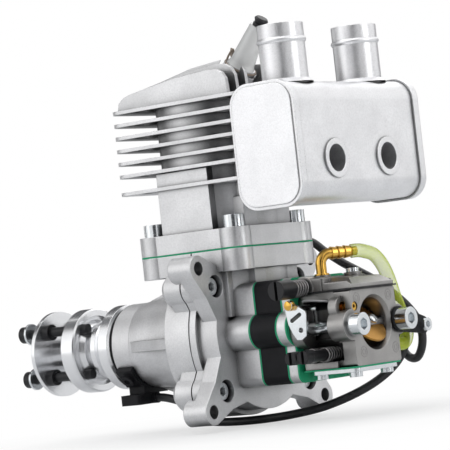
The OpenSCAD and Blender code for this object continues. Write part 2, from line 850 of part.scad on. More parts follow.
module plug_insulator() {
  color("white")
    on_plug()
      difference() {
        union() {
          translate([0, 0, -plug_reach + 2])
            cylinder(h = plug_reach + 10.6, r = plug_hex * 0.25);
          translate([0, 0, 12.6])
            cylinder(h = 2, r1 = plug_hex * 0.40, r2 = plug_hex * 0.36);
          translate([0, 0, 14.6])
            cylinder(h = ceramic_len - 2, r1 = plug_hex * 0.36, r2 = plug_hex * 0.25);
        }
        translate([0, 0, -plug_reach])
          cylinder(h = plug_reach + ceramic_len + 20, r = 1.02);
      }
}

module plug_terminal() {
  color(steel)
    on_plug() {
      translate([0, 0, -plug_reach + 1])
        cylinder(h = plug_reach + ceramic_len + 11.6, r = 1);
      translate([0, 0, 12.6 + ceramic_len])
        cylinder(h = 1.2, r = 2.6);
      translate([0, 0, 13.8 + ceramic_len])
        cylinder(h = 1.8, r1 = 2.1, r2 = 2.9);
      translate([0, 0, 15.6 + ceramic_len])
        cylinder(h = 0.8, r1 = 2.9, r2 = 2.3);
    }
}

module exhaust_gasket() {
  color(steel)
    xprism(muffler_front, exhaust_face)
      difference() {
        round_rect([-muffler_bolt_span / 2 - 7, exhaust_z - 9.5],
          [muffler_bolt_span / 2 + 7, exhaust_z + 9.5], 1.4);
        translate([-11, exhaust_z - 6])
          square([22, 12]);
        for (side = [-1, 1])
          translate([side * muffler_bolt_span / 2, exhaust_z])
            circle(2.5 + screw_play);
      }
}

// Section of the muffler, grown or shrunk all round
module muffler_2d(grow = 0) {
  round_rect([muffler_rear - grow, muffler_low - grow], [muffler_front + grow, muffler_top + grow],
    muffler_corner + grow);
}

muffler_mid = (muffler_rear + muffler_front) / 2;

module muffler_body() {
  half = muffler_w / 2 - 1.2;
  color(cast)
    difference() {
      yprism(-half, half)
        muffler_2d();
      yprism(-half - 1, half + 1)
        muffler_2d(-muffler_wall);
      for (side = [-1, 1]) {
        xcyl(muffler_rear - 1, muffler_front + 1, tube_d / 2, side * muffler_bolt_span / 2, exhaust_z);
        zcyl(muffler_top - 5, muffler_top + 5, stack_d / 2, muffler_mid, side * stack_span / 2);
      }
      translate([muffler_front - 3, -8, exhaust_z - 6])
        cube([6, 16, 12]);
    }
}

module muffler_end_caps() {
  half = muffler_w / 2;
  lip = 0.9;
  color(cast)
    for (side = [0, 1])
      mirror([0, side, 0]) {
        yprism(half - 1.2, half)
          muffler_2d(-0.4);
        difference() {
          yprism(half - cap_depth, half - 0.5)
            muffler_2d(lip);
          yprism(half - cap_depth - 1, half - 1.2)
            muffler_2d(0.02);
        }
      }
}

module muffler_stacks() {
  color(cast)
    for (side = [-1, 1])
      translate([muffler_mid, side * stack_span / 2, 0])
        difference() {
          union() {
            zcyl(muffler_top - 3, stack_top, stack_d / 2);
            zcyl(muffler_top, muffler_top + 1.6, stack_d / 2 + 1.8, r2 = stack_d / 2);
            translate([0, 0, stack_top - bead_drop])
              rotate_extrude()
                translate([stack_d / 2 - 0.5, 0])
                  circle(1.1, $fn = 24);
          }
          zcyl(muffler_top - 4, stack_top + 1, stack_d / 2 - stack_wall);
        }
}

module bolt_access_tubes() {
  color(cast)
    for (side = [-1, 1])
      difference() {
        union() {
          xcyl(muffler_rear - 0.8, muffler_front - 0.02, tube_d / 2 - 0.02,
            side * muffler_bolt_span / 2, exhaust_z);
          xcyl(muffler_rear - 0.8, muffler_rear, tube_d / 2 + 0.5,
            side * muffler_bolt_span / 2, exhaust_z);
        }
        xcyl(muffler_rear - 2, muffler_front - 2, tube_bore / 2, side * muffler_bolt_span / 2, exhaust_z);
        xcyl(muffler_rear - 2, muffler_front + 2, 2.5 + screw_play,
          side * muffler_bolt_span / 2, exhaust_z);
      }
}

module muffler_bolts() {
  color(zinc)
    for (side = [-1, 1])
      xscrew(muffler_front - 2, 5, exhaust_flange_t + gasket_t + 4, side * muffler_bolt_span / 2, exhaust_z);
}

module insulator_block() {
  color(black)
    difference() {
      xprism(insulator_rear, insulator_front)
        intake_2d();
      translate([insulator_rear - 1, -reed_w / 2, -reed_h / 2])
        cube([insulator_t + 2, reed_w, reed_h]);
      intake_bolt_holes(insulator_rear - 1, insulator_front + 1);
    }
}

module intake_gaskets() {
  color(green)
    for (x = [block_rear, insulator_rear, plate_rear])
      difference() {
        xprism(x - gasket_t, x)
          intake_2d();
        if (x > plate_rear)
          translate([x - 2, -reed_w / 2, -reed_h / 2])
            cube([4, reed_w, reed_h]);
        xcyl(x - 2, x + 2, carb_bore / 2);
        intake_bolt_holes(x - 2, x + 2);
      }
}

// Wedge shaped reed cage that reaches into the case, with a thin petal on each slope
module reed_cage() {
  half_w = reed_w / 2 - free_gap;
  half_h = reed_h / 2 - free_gap;
  tip_x = 1.5;
  color(machined) {
    difference() {
      yprism(-half_w, half_w)
        polygon([[insulator_rear, -half_h], [insulator_front, -half_h], [tip_x, -1.5],
          [tip_x, 1.5], [insulator_front, half_h], [insulator_rear, half_h]]);
      yprism(-half_w + 2, half_w - 2)
        polygon([[insulator_rear - 1, -half_h + 2], [insulator_front, -half_h + 2], [tip_x - 3, -0.6],
          [tip_x - 3, 0.6], [insulator_front, half_h - 2], [insulator_rear - 1, half_h - 2]]);
      for (side = [-1, 1], z = [-1, 1])
        translate([insulator_front + 2, side * half_w / 2 - 2.6, z > 0 ? 0 : -half_h])
          cube([7, 5.2, half_h]);
    }
  }
  slope = atan2(half_h - 1.5, tip_x - insulator_front);
  color(steel)
    for (z = [0, 1])
      mirror([0, 0, z])
        translate([insulator_front, 0, half_h])
          rotate([0, slope, 0])
            translate([0.6, -half_w + 0.8, 0.02])
              cube([12, 2 * half_w - 1.6, 0.25]);
}

module spacer_plate() {
  color(cast)
    difference() {
      xprism(plate_rear, plate_front)
        intake_2d();
      xcyl(plate_rear - 1, plate_front + 1, carb_bore / 2);
      intake_bolt_holes(plate_rear - 1, plate_front + 1);
    }
}

// Castings of the carburettor before they are bored
module carb_solid() {
  half = carb_w / 2;
  mid_x = carb_front - 16;
  // Barrel round the bore
  xcyl(carb_rear, carb_front, carb_bore / 2 + 3.2);
  // Rear block
  xprism(carb_rear, mid_x)
    round_rect([-half, -carb_down], [half, carb_up], 1);
  // Upper deck under the pump cover
  translate([mid_x - 1, -half, pocket_top - 0.6])
    cube([carb_front - mid_x - 0.2, carb_w, carb_up - pocket_top + 0.6]);
  // Lower chamber with its ledge
  translate([mid_x - 1, -half, -carb_down])
    cube([carb_front - mid_x - 1, carb_w - 5, 9]);
  translate([mid_x - 1, half - 6, -carb_down])
    cube([carb_front - mid_x - 0.4, 8, 2.6]);
  // Front flange and its bolt lobes
  xprism(carb_front - 2.4, carb_front)
    round_rect([-half, -carb_down], [half, carb_up], 3);
  for (side = [-1, 1]) {
    xcyl(carb_rear, carb_rear + 7.8, intake_bolt_d + 1, side * intake_bolt_span / 2, 0);
    xcyl(carb_front - ear_front, carb_front, lobe_r + 0.4, side * intake_bolt_span / 2, 0);
  }
  // Pad of the brass plug
  xcyl(carb_rear + 4, carb_rear + 8, 4.4, half + 0.3, 7);
  // Needle bosses
  for (x = [needle_h_x, needle_l_x])
    ycyl(needle_seat_y - 6, needle_seat_y, needle_head_d / 2 + 0.2, x, needle_z);
  // Fuel inlet boss on the far side
  ycyl(-half - 3, -half + 1, 3.6, nipple_x, nipple_z);
}

// Side pocket with its slot for a lever, side is 1 for the near side
module lever_pocket(side, x0, x1) {
  near = side > 0 ? pocket_y : -pocket_y - leg_t - 2 * free_gap;
  far = side > 0 ? pocket_y : -pocket_y - 20;
  translate([x0, near, -4.6])
    cube([x1 - x0, leg_t + 2 * free_gap, pocket_top + 4.6]);
  translate([x0, far, intake_bolt_d / 2 - 0.4])
    cube([x1 - x0, 20, pocket_top - intake_bolt_d / 2 + 0.4]);
}

module carburettor_body() {
  half = carb_w / 2;
  color(cast)
    difference() {
      carb_solid();
      xcyl(carb_rear - 1, carb_front + 1, carb_bore / 2);
      xcyl(carb_rear - eps, carb_rear + 1.6, carb_bore / 2 + 1, r2 = carb_bore / 2);
      intake_bolt_holes(carb_rear - 1, carb_front + 1);
      // Blind bores of the two shafts
      ycyl(-pocket_y - 0.9, half + 1, shaft_d / 2 + run_gap, throttle_x, 0);
      ycyl(-half - 1, pocket_y + 0.9, shaft_d / 2 + run_gap, choke_x, 0);
      difference() {
        lever_pocket(1, mid_pocket_x, carb_front - 2.4);
        xcyl(carb_front - ear_front, carb_front, lobe_r + 0.4, intake_bolt_span / 2, 0);
      }
      translate([throttle_x - 5, pocket_y, -4.6])
        cube([carb_front - 1.2 - throttle_x + 5, leg_t + 2 * free_gap, pocket_top + 4.6]);
      lever_pocket(-1, carb_rear + 1.4, choke_x + tab_r + 1.2);
      for (x = [needle_h_x, needle_l_x])
        ycyl(needle_seat_y - 9, needle_seat_y + 1, 1.5 + run_gap, x, needle_z);
      // Corner cut away beside the needles, and spot faces under their springs
      translate([carb_rear + 6, pocket_y, needle_z - 2.9])
        cube([4, half, 7.5]);
      for (x = [needle_h_x, needle_l_x])
        ycyl(needle_seat_y, needle_seat_y + 5, needle_head_d / 2 + 0.35, x, needle_z);
      xcyl(carb_rear + 3, carb_rear + 10, 2.2, half + 0.3, 7);
      xcyl(carb_rear - 1, carb_rear + 4, 1.8, half - 2.4, 7);
      ycyl(-half - 8, -half, 1.6, nipple_x, nipple_z);
      cover_screw_places()
        zcyl(carb_up - 2.2, carb_up + 1, 1.5 + screw_play);
      metering_screw_places()
        zcyl(-carb_down - 1, -carb_down + 4, 1.5 + screw_play);
      translate([carb_front - 60, -40, carb_up])
        cube([70, 80, 20]);
    }
}

mid_pocket_x = carb_rear + 7.8;

module cover_screw_places() {
  for (p = [[carb_front - 12.5, -6]])
    translate([p[0], p[1], 0])
      children();
}

module metering_screw_places() {
  for (x = [carb_front - 4.5, carb_rear + 4], y = [-carb_w / 2 + 5, carb_w / 2 - 4])
    translate([x, y, 0])
      children();
}

module carburettor_bolts() {
  color(zinc)
    for (side = [-1, 1])
      xscrew(carb_rear - (side < 0 ? strap_t : 0), intake_bolt_d, -carb_rear - 4, side * intake_bolt_span / 2, 0,
        intake_bolt_d + 0.4);
}

// Cover over the diaphragm pump, with bevelled edges at the rear and a screw boss
module pump_cover() {
  half = carb_w / 2;
  color(cast)
    difference() {
      union() {
        xprism(carb_front - 11.8, carb_front - 1.4)
          polygon([[-half, pump_low], [half, pump_low], [half, pump_top - 0.6], [half - 0.6, pump_top],
            [-half + 0.6, pump_top], [-half, pump_top - 0.6]]);
        yprism(-half + 1, half - 0.4)
          polygon([[carb_front - 11.9, pump_low], [carb_front - 11.9, pump_top - 0.4],
            [carb_rear + 3, pump_top - 1.2], [carb_rear - 0.6, pump_low + 1.4],
            [carb_rear - 0.6, pump_low]]);
        zcyl(pump_low, pump_top + 0.9, 3.6, carb_front - 12.5, -6);
        zcyl(pump_low, pump_top + 0.7, 3.4, elbow_x, elbow_y);
        ycyl(idle_seat_y - 6, idle_seat_y, 4.4, idle_x, idle_z);
      }
      zcyl(pump_low - 1, pump_top + 3, 1.5 + screw_play, carb_front - 12.5, -6);
      zcyl(pump_low - 1, pump_top + 3, elbow_d / 2 + 0.02, elbow_x, elbow_y);
      translate([carb_front - 0.3, -half - 5, 0])
        cube([20, carb_w + 10, 40]);
      ycyl(idle_seat_y - 6.4, idle_seat_y + 1, 1.5 + run_gap, idle_x, idle_z);
      // Bevels along both long edges of the rear plate
      for (side = [0, 1])
        mirror([0, side, 0])
          translate([carb_rear - 3, half - 1.6, pump_low + 1.6])
            rotate([50, 0, 0])
              cube([carb_l - 10, 8, 8]);
      translate([carb_rear - 5, -half - 5, -50])
        cube([carb_l + 10, carb_w + 10, 50 + pump_low]);
    }
}

module pump_gasket() {
  half = carb_w / 2;
  color(black)
    difference() {
      translate([carb_rear - 1, -half - 0.6, carb_up])
        cube([carb_l - 0.6, carb_w + 0.8, pump_low - carb_up]);
      zcyl(carb_up - 1, pump_low + 1, 1.5 + screw_play, carb_front - 12.5, -6);
      ycyl(-half, idle_seat_y + 3, 1.5 + run_gap, idle_x, idle_z);
    }
}

module metering_cover() {
  half = carb_w / 2;
  color(zinc)
    difference() {
      translate([0, 0, metering_low])
        linear_extrude(metering_cover_t)
          round_rect([carb_rear + 0.6, -half + 1], [carb_front - 1.4, half - 0.4], 2.5);
      metering_screw_places()
        zcyl(metering_low - 1, metering_top + 1, 1.5 + screw_play);
      zcyl(metering_low - 1, metering_top + 1, 0.8, (carb_front + carb_rear) / 2, 0);
    }
}

module metering_gasket() {
  half = carb_w / 2;
  color(green)
    difference() {
      translate([0, 0, metering_top])
        linear_extrude(-carb_down - metering_top)
          round_rect([carb_rear + 0.2, -half - 0.4], [carb_front - 0.4, half + 2.6], 1.5);
      metering_screw_places()
        zcyl(metering_top - 1, 1 - carb_down, 1.5 + screw_play);
      zcyl(metering_top - 1, 1 - carb_down, 8, (carb_front + carb_rear) / 2, 0);
    }
}

strap_t = 1;
strap_y = -31.8;
lead_ring = [-49.1, -38.2];

module cover_screws() {
  color(zinc) {
    zscrew(pump_top + 0.9, 3, pump_cover_t + 2.4, carb_front - 12.5, -6, 1.6);
    metering_screw_places()
      mirror([0, 0, 1])
        zscrew(-metering_low, 3, metering_cover_t + 3.4, 0, 0, 1.9);
    // Screw of the lead strap
    xscrew(carb_rear - strap_t, 3, 2.8, strap_y, -3.4, 2);
  }
}

module carburettor_springs() {
  color(steel) {
    for (x = [needle_h_x, needle_l_x])
      yspring(needle_seat_y, needle_seat_y + 7.4, needle_head_d / 2 - 0.35, 0.7, 5, x, needle_z);
    yspring(idle_seat_y, idle_seat_y + idle_out - idle_head_l - 0.1, idle_head_d / 2 - 0.9, 0.8, 5,
      idle_x, idle_z);
  }
}

// Slotted screw along Y: spindle, sleeve and knurled head
module yneedle(seat, out, head_d, head_l, sleeve_l, spindle_in, x, z) {
  difference() {
    union() {
      ycyl(seat - spindle_in, seat + out - 0.5, 1.5, x, z);
      ycyl(seat + out - head_l, seat + out, head_d / 2, x, z);
      if (sleeve_l > 0)
        ycyl(seat + out - head_l - sleeve_l, seat + out - head_l, head_d / 2 - 0.5, x, z);
    }
    translate([x - 0.6, seat + out - 2.2, z - head_d])
      cube([1.2, 3, 2 * head_d]);
  }
}

module high_speed_needle() {
  color(black)
    yneedle(needle_seat_y, needle_out, needle_head_d, 4.4, needle_out - 12, 8, needle_h_x, needle_z);
}

module low_speed_needle() {
  color(black)
    yneedle(needle_seat_y, needle_out, needle_head_d, 4.4, needle_out - 12, 8, needle_l_x, needle_z);
}

module idle_screw() {
  color(black)
    yneedle(idle_seat_y, idle_out, idle_head_d, idle_head_l, 0, 5.8, idle_x, idle_z);
}

// Bent brass elbow with barbs and a thin end that the tube is pushed on
module fuel_elbow() {
  color(brass)
    translate([elbow_x, elbow_y, 0])
      rotate([0, 0, elbow_turn])
        difference() {
          union() {
            zcyl(pump_top - 4, elbow_bend_z, elbow_d / 2);
            zcyl(pump_top + 0.7, pump_top + 1.4, elbow_d / 2 + 0.8);
            intersection() {
              translate([elbow_bend_r, 0, elbow_bend_z])
                rotate([90, 0, 0])
                  rotate_extrude()
                    translate([elbow_bend_r, 0])
                      circle(elbow_d / 2);
              translate([elbow_bend_r - 20, -10, elbow_bend_z])
                cube([20, 20, 20]);
            }
            xcyl(elbow_bend_r, elbow_bend_r + 9, elbow_d / 2, 0, elbow_z);
            for (b = [0.6, 3.4, 6.2])
              xcyl(elbow_bend_r + b, elbow_bend_r + b + 2.4, elbow_d / 2 + 0.5, 0, elbow_z, r2 = elbow_d / 2 + 0.1);
            xcyl(elbow_bend_r + 9, elbow_bend_r + 11.4, elbow_d / 2 - 0.3, 0, elbow_z);
          }
          zcyl(pump_top - 5, elbow_bend_z, elbow_d / 2 - 0.9);
          xcyl(elbow_bend_r + 0.4, elbow_bend_r + 12, elbow_d / 2 - 0.9, 0, elbow_z);
        }
}

elbow_turn = -122;
elbow_bend_r = 4;
elbow_bend_z = pump_top + 5;
elbow_z = elbow_bend_z + elbow_bend_r;

// Ring of points round a path point, for a swept tube
function tube_axis(points, i) =
  let (
    before = points[max(i - 1, 0)],
    after = points[min(i + 1, len(points) - 1)],
    along = after - before
  ) along / norm(along);

function tube_ring(centre, along, r, sides) =
  let (
    aside_raw = cross(along, abs(along[2]) < 0.9 ? [0, 0, 1] : [0, 1, 0]),
    aside = aside_raw / norm(aside_raw),
    over = cross(aside, along)
  ) [for (k = [0:sides - 1]) centre + r * (cos(360 * k / sides) * aside + sin(360 * k / sides) * over)];

// Round tube along a list of points, as one closed solid
module sweep_tube(points, r, sides) {
  count = len(points);
  rings = [for (i = [0:count - 1]) each tube_ring(points[i], tube_axis(points, i), r, sides)];
  walls = [
    for (i = [0:count - 2], k = [0:sides - 1])
      [i * sides + k, i * sides + (k + 1) % sides, (i + 1) * sides + (k + 1) % sides, (i + 1) * sides + k]
  ];
  first = [for (k = [0:sides - 1]) sides - 1 - k];
  last = [for (k = [0:sides - 1]) (count - 1) * sides + k];
  polyhedron(points = rings, faces = concat(walls, [first, last]));
}

// Smooth curve through the given points, with extra points between each pair
function smooth_point(p, i, t) =
  let (
    a = p[max(i - 1, 0)],
    b = p[i],
    c = p[min(i + 1, len(p) - 1)],
    d = p[min(i + 2, len(p) - 1)]
  ) 0.5 * (2 * b + (c - a) * t + (2 * a - 5 * b + 4 * c - d) * t * t + (3 * b - a - 3 * c + d) * t * t * t);

function smooth_path(p, steps) = concat(
  [for (i = [0:len(p) - 2], s = [0:steps - 1]) smooth_point(p, i, s / steps)],
  [p[len(p) - 1]]
);

nipple_x = choke_x + 3;
nipple_z = -10;
nipple_end = -carb_w / 2 - 10;

module fuel_tube() {
  aim = [cos(elbow_turn), sin(elbow_turn), 0];
  end = [elbow_x, elbow_y, elbow_z] + (elbow_bend_r + 9.2) * aim;
  tube_points = [
    end, end + 3 * aim, [-46.4, -9.6, pump_top + 8.4], [-47, -14.8, pump_top + 6.8], [-47.2, -19.4, pump_top + 2.8],
    [-47.3, -22.9, pump_top - 3], [-47.3, -25.7, 9], [-47.3, -28.6, 3], [-47.4, -30.6, -2],
    [-47.3, -31.4, -6.2], [-47, -29.7, -9.4], [nipple_x, -26, nipple_z], [nipple_x, -23, nipple_z],
    [nipple_x, nipple_end + 4.6, nipple_z]
  ];
  color([0.75, 0.85, 0.25, 0.6])
    difference() {
      sweep_tube(smooth_path(tube_points, 2), fuel_tube_d / 2, 12);
      translate(end - aim)
        rotate([0, 90, elbow_turn])
          cylinder(h = 3.4, r = elbow_d / 2 - 0.25);
      ycyl(nipple_end - 0.3, nipple_end + 8, 1.85, nipple_x, nipple_z);
    }
}

module brass_fittings() {
  half = carb_w / 2;
  color(brass) {
    difference() {
      xcyl(carb_rear + 4.4, carb_rear + 8, 2.18, half + 0.3, 7);
      xcyl(carb_rear + 4, carb_rear + 6.4, 1.1, half + 0.3, 7);
    }
    difference() {
      xcyl(carb_rear + 0.4, carb_rear + 4, 1.78, half - 2.4, 7);
      xcyl(carb_rear, carb_rear + 3, 0.7, half - 2.4, 7);
    }
    difference() {
      union() {
        ycyl(nipple_end, -half - 1, 1.58, nipple_x, nipple_z);
        ycyl(nipple_end + 0.4, nipple_end + 2, 1.5, nipple_x, nipple_z, r2 = 1.8);
        ycyl(-half - 4, -half - 3, 2.8, nipple_x, nipple_z);
      }
      ycyl(nipple_end - 1, -half, 0.8, nipple_x, nipple_z);
    }
  }
}

// Clamp half under the nose ring, with its screw
// Saddle on the nose ring with its screw, and the flat sensor block under it
module pickup_bracket() {
  x0 = nose_ring_x + 0.4;
  ring = nose_tip_r - 0.2 + 0.02;
  color(black) {
    difference() {
      union() {
        translate([x0, -5, -sensor_top])
          cube([bracket_w, 15, sensor_top - 12]);
        rotate([-bracket_turn, 0, 0])
          translate([x0, ring - 3, -4.6])
            cube([bracket_w, 5, 9.2]);
      }
      xcyl(x0 - 1, x0 + bracket_w + 1, ring);
    }
    rotate([-bracket_turn, 0, 0])
      difference() {
        ycyl(ring + 2, ring + 3.6, 2.7, x0 + bracket_w / 2, 0);
        ycyl(ring + 2.8, ring + 4, 1.3, x0 + bracket_w / 2, 0);
      }
  }
}

module pickup_sensor() {
  x1 = hub_rear - 0.8;
  color(black) {
    translate([0, 0, -sensor_top - sensor_h])
      linear_extrude(sensor_h)
        round_rect([x1 - sensor_l, 0], [x1, 14.6], 2);
    xcyl(lead_points[0][0], x1 - sensor_l + 1, lead_d / 2 + 0.5, lead_points[0][1], lead_points[0][2]);
  }
}

// Strap under the far carburettor bolt, with a ring that the lead passes through
module lead_strap() {
  bolt_y = -intake_bolt_span / 2;
  color(black)
    difference() {
      union() {
        xprism(carb_rear - strap_t, carb_rear)
          link_2d([bolt_y, 0], 5, [strap_y, -3.4], 3.4);
        xcyl(carb_rear - strap_t, carb_rear + 2.6, 3, strap_y, -3.4);
        translate([carb_rear - strap_t, -36.8, -4.9])
          cube([5, 6, 3]);
        zcyl(-4.9, -1.9, 3.2, lead_ring[0], lead_ring[1]);
      }
      xcyl(carb_rear - strap_t - 1, carb_rear + 3, intake_bolt_d / 2 + screw_play, bolt_y, 0);
      xcyl(carb_rear - 9, carb_rear + 2, 1.6, strap_y, -3.4);
      zcyl(-6, 0, 2.2, lead_ring[0], lead_ring[1]);
    }
}

module pickup_lead() {
  color(black)
    sweep_tube(smooth_path(lead_points, 2), lead_d / 2, 8);
}

module lead_connector() {
  end = lead_points[len(lead_points) - 1];
  color(black)
    difference() {
      translate([end[0] - 4, end[1] - 1.6, end[2] - 15])
        cube([8, 3.2, 15]);
      for (i = [-1, 0, 1])
        translate([end[0] + i * 2.54 - 0.5, end[1] - 0.5, end[2] - 16])
          cube([1, 1, 5]);
    }
}

module throttle_shaft() {
  color(steel)
    difference() {
      ycyl(-pocket_y - 0.7, leg_y + leg_t, shaft_d / 2, throttle_x, 0);
      butterfly_slot(throttle_x, throttle_rest);
    }
}

throttle_rest = -12;

// Slot in a shaft that takes its plate
module butterfly_slot(x, lean) {
  translate([x, 0, 0])
    rotate([0, lean, 0])
      translate([-plate_disc_t / 2, -carb_bore / 2 + 0.2, -5])
        cube([plate_disc_t, carb_bore - 0.4, 10]);
}

// Oval plate that shuts the bore when it leans by the closed angle
module butterfly(x, closed, lean) {
  translate([x, 0, 0])
    rotate([0, lean, 0])
      difference() {
        intersection() {
          translate([-plate_disc_t / 2, -20, -20])
            cube([plate_disc_t, 40, 40]);
          rotate([0, -closed, 0])
            xcyl(-10, 10, carb_bore / 2 - 0.25);
        }
        for (side = [-1, 1])
          translate([-2, side > 0 ? carb_bore / 2 - 0.9 : -carb_bore / 2 - 4.1, -shaft_d / 2 - 0.1])
            cube([4, 5, shaft_d + 0.2]);
      }
}

module throttle_plate() {
  color(bronze)
    butterfly(throttle_x, throttle_rest, throttle_rest);
}

// Leg of a joggled lever with the tab that steps over the bolt, drawn with its axis at the origin
module lever_leg(side, out_y) {
  low = side > 0 ? leg_y : -leg_y - leg_t;
  yprism(low, low + leg_t) {
    circle(shaft_d / 2 + 1.2);
    translate([-tab_w / 2, 0])
      square([tab_w, tab_r + 0.6]);
  }
  tab_low = side > 0 ? leg_y : -out_y;
  translate([-tab_w / 2, tab_low, tab_r - 0.6])
    cube([tab_w, out_y - leg_y, 1.2]);
}

// Pressed throttle lever with its slot and cross pin
module throttle_lever() {
  color(zinc)
    difference() {
      union() {
        translate([throttle_x, 0, 0])
          lever_leg(1, lever_y + 1.2);
        yprism(lever_y, lever_y + 1.2)
          difference() {
            polygon([[-30.6, 10.9], [-32.4, 11.4], [-35.4, 9.8], [-39.6, 7.2], [-40, 5.8], [-39, -2.4],
              [-36.8, -3.8], [-34.4, -3.6], [-32.6, -1], [-31, 2.6], [-30.2, 7.4]]);
            link_2d([-36.8, 6], 0.8, [-32.9, 3.9], 0.8);
            translate([-36.7, 0])
              circle(1);
          }
      }
      ycyl(leg_y - 1, leg_y + leg_t + 1, shaft_d / 2, throttle_x, 0);
    }
  color(brass)
    ycyl(lever_y + 1.2, lever_y + 3.2, 2, -33.2, 9.8);
}

module choke_shaft() {
  color(steel)
    difference() {
      ycyl(-leg_y - leg_t, pocket_y + 0.7, shaft_d / 2, choke_x, 0);
      butterfly_slot(choke_x, choke_rest);
    }
}

module choke_plate() {
  color(bronze)
    butterfly(choke_x, 2, choke_rest);
}

module choke_lever() {
  out_y = carb_w / 2 + 6;
  color(black)
    difference() {
      translate([choke_x, 0, 0])
        rotate([0, choke_rest, 0]) {
          lever_leg(-1, out_y);
          yprism(-out_y, -out_y + 1.2)
            link_2d([0, tab_r + 0.4], 1.6, [0, tab_r + 2.2], 2.2);
        }
      ycyl(-leg_y - leg_t - 1, -leg_y + 1, shaft_d / 2, choke_x, 0);
    }
}

// Shaft with its web, counterweight and threaded end
module crankshaft() {
  web_x = cyl_x + rod_eye_w / 2 + 1;
  color(steel)
    difference() {
      union() {
        xcyl(web_x + web_t - 1, prop_seat, journal_d / 2);
        xcyl(prop_seat - 1, plate_x + 1.2, nose_d / 2);
        intersection() {
          xcyl(web_x, web_x + web_t, web_r);
          xprism(web_x, web_x + web_t)
            union() {
              link_2d([0, -throw], crank_pin_d / 2 + 3, [0, 0], journal_d / 2 + 4);
              translate([-web_r, 0])
                square([2 * web_r, web_r]);
              polygon([[-web_r, 0], [web_r, 0], [journal_d / 2 + 1, -8], [-journal_d / 2 - 1, -8]]);
            }
        }
      }
      xcyl(web_x - 1, web_x + web_t - 2, crank_pin_d / 2, 0, -throw);
      // Keyway for the hub
      translate([hub_rear + 2, -1.25, journal_d / 2 - 1.6])
        cube([12, 2.5, 3]);
    }
}

// Revolved hub: rear ring, neck with its ridge and dished flange
module prop_hub() {
  color(machined)
    difference() {
      rotate([0, 90, 0])
        rotate_extrude()
          polygon([
            [journal_d / 2, hub_rear], [hub_r - 1, hub_rear], [hub_r, hub_rear + 0.8],
            [hub_r, hub_rear + hub_ring_w - 0.8], [hub_r - 0.8, hub_rear + hub_ring_w],
            [neck_r + 3, hub_rear + hub_ring_w], [neck_r, hub_rear + hub_ring_w + 2],
            [neck_r, hub_rear + hub_ring_w + 5], [neck_r + 1.4, hub_rear + hub_ring_w + 5.6],
            [neck_r + 1.4, hub_rear + hub_ring_w + 8], [neck_r, hub_rear + hub_ring_w + 8.6],
            [neck_r, hub_flange_rear - 1], [neck_r + 2, hub_flange_rear + 2],
            [hub_r - 3, hub_flange_rear], [hub_r - 0.6, hub_flange_rear],
            [hub_r, hub_flange_rear + 0.6], [hub_r, prop_seat - 0.6],
            [hub_r - 0.6, prop_seat], [journal_d / 2, prop_seat]
          ]);
      for (y = [-1, 1], z = [-1, 1])
        xcyl(hub_flange_rear - 2, prop_seat + 1, prop_bolt_d / 2 + screw_play,
          y * prop_bolt_span / 2, z * prop_bolt_span / 2);
    }
}

module prop_plate() {
  color(machined)
    difference() {
      union() {
        xcyl(plate_x, plate_end - 0.6, hub_r + 0.4);
        xcyl(plate_end - 0.6, plate_end, hub_r + 0.4, r2 = hub_r - 0.4);
        xcyl(plate_end, plate_end + 3.2, 6.4, r2 = 5.8);
      }
      xcyl(plate_x - 1, plate_x + 1.4, nose_d / 2);
      for (y = [-1, 1], z = [-1, 1])
        xcyl(plate_x - 1, plate_end + 4, prop_bolt_d / 2 + screw_play,
          y * prop_bolt_span / 2, z * prop_bolt_span / 2);
    }
}

module centre_spacer() {
  color(steel)
    difference() {
      xcyl(prop_seat, plate_x, spacer_r);
      xcyl(prop_seat - 1, plate_x + 1, nose_d / 2);
    }
}

module prop_bolts() {
  seat = plate_end + bolt_slack + 1;
  color(black)
    for (y = [-1, 1], z = [-1, 1]) {
      mirror([1, 0, 0])
        xscrew(-seat, prop_bolt_d, seat - hub_flange_rear + 3, y * prop_bolt_span / 2, z * prop_bolt_span / 2);
      difference() {
        xcyl(plate_x - 4, plate_x, prop_bolt_d / 2 + 1.4, y * prop_bolt_span / 2, z * prop_bolt_span / 2);
        xcyl(plate_x - 5, plate_x + 1, prop_bolt_d / 2, y * prop_bolt_span / 2, z * prop_bolt_span / 2);
      }
    }
}

module prop_washers() {
  low = plate_end + bolt_slack;
  color(zinc)
    for (y = [-1, 1], z = [-1, 1])
      difference() {
        xcyl(low, low + 1, prop_bolt_d + 0.5, y * prop_bolt_span / 2, z * prop_bolt_span / 2);
        xcyl(low - 1, low + 2, prop_bolt_d / 2 + screw_play,
          y * prop_bolt_span / 2, z * prop_bolt_span / 2);
      }
}

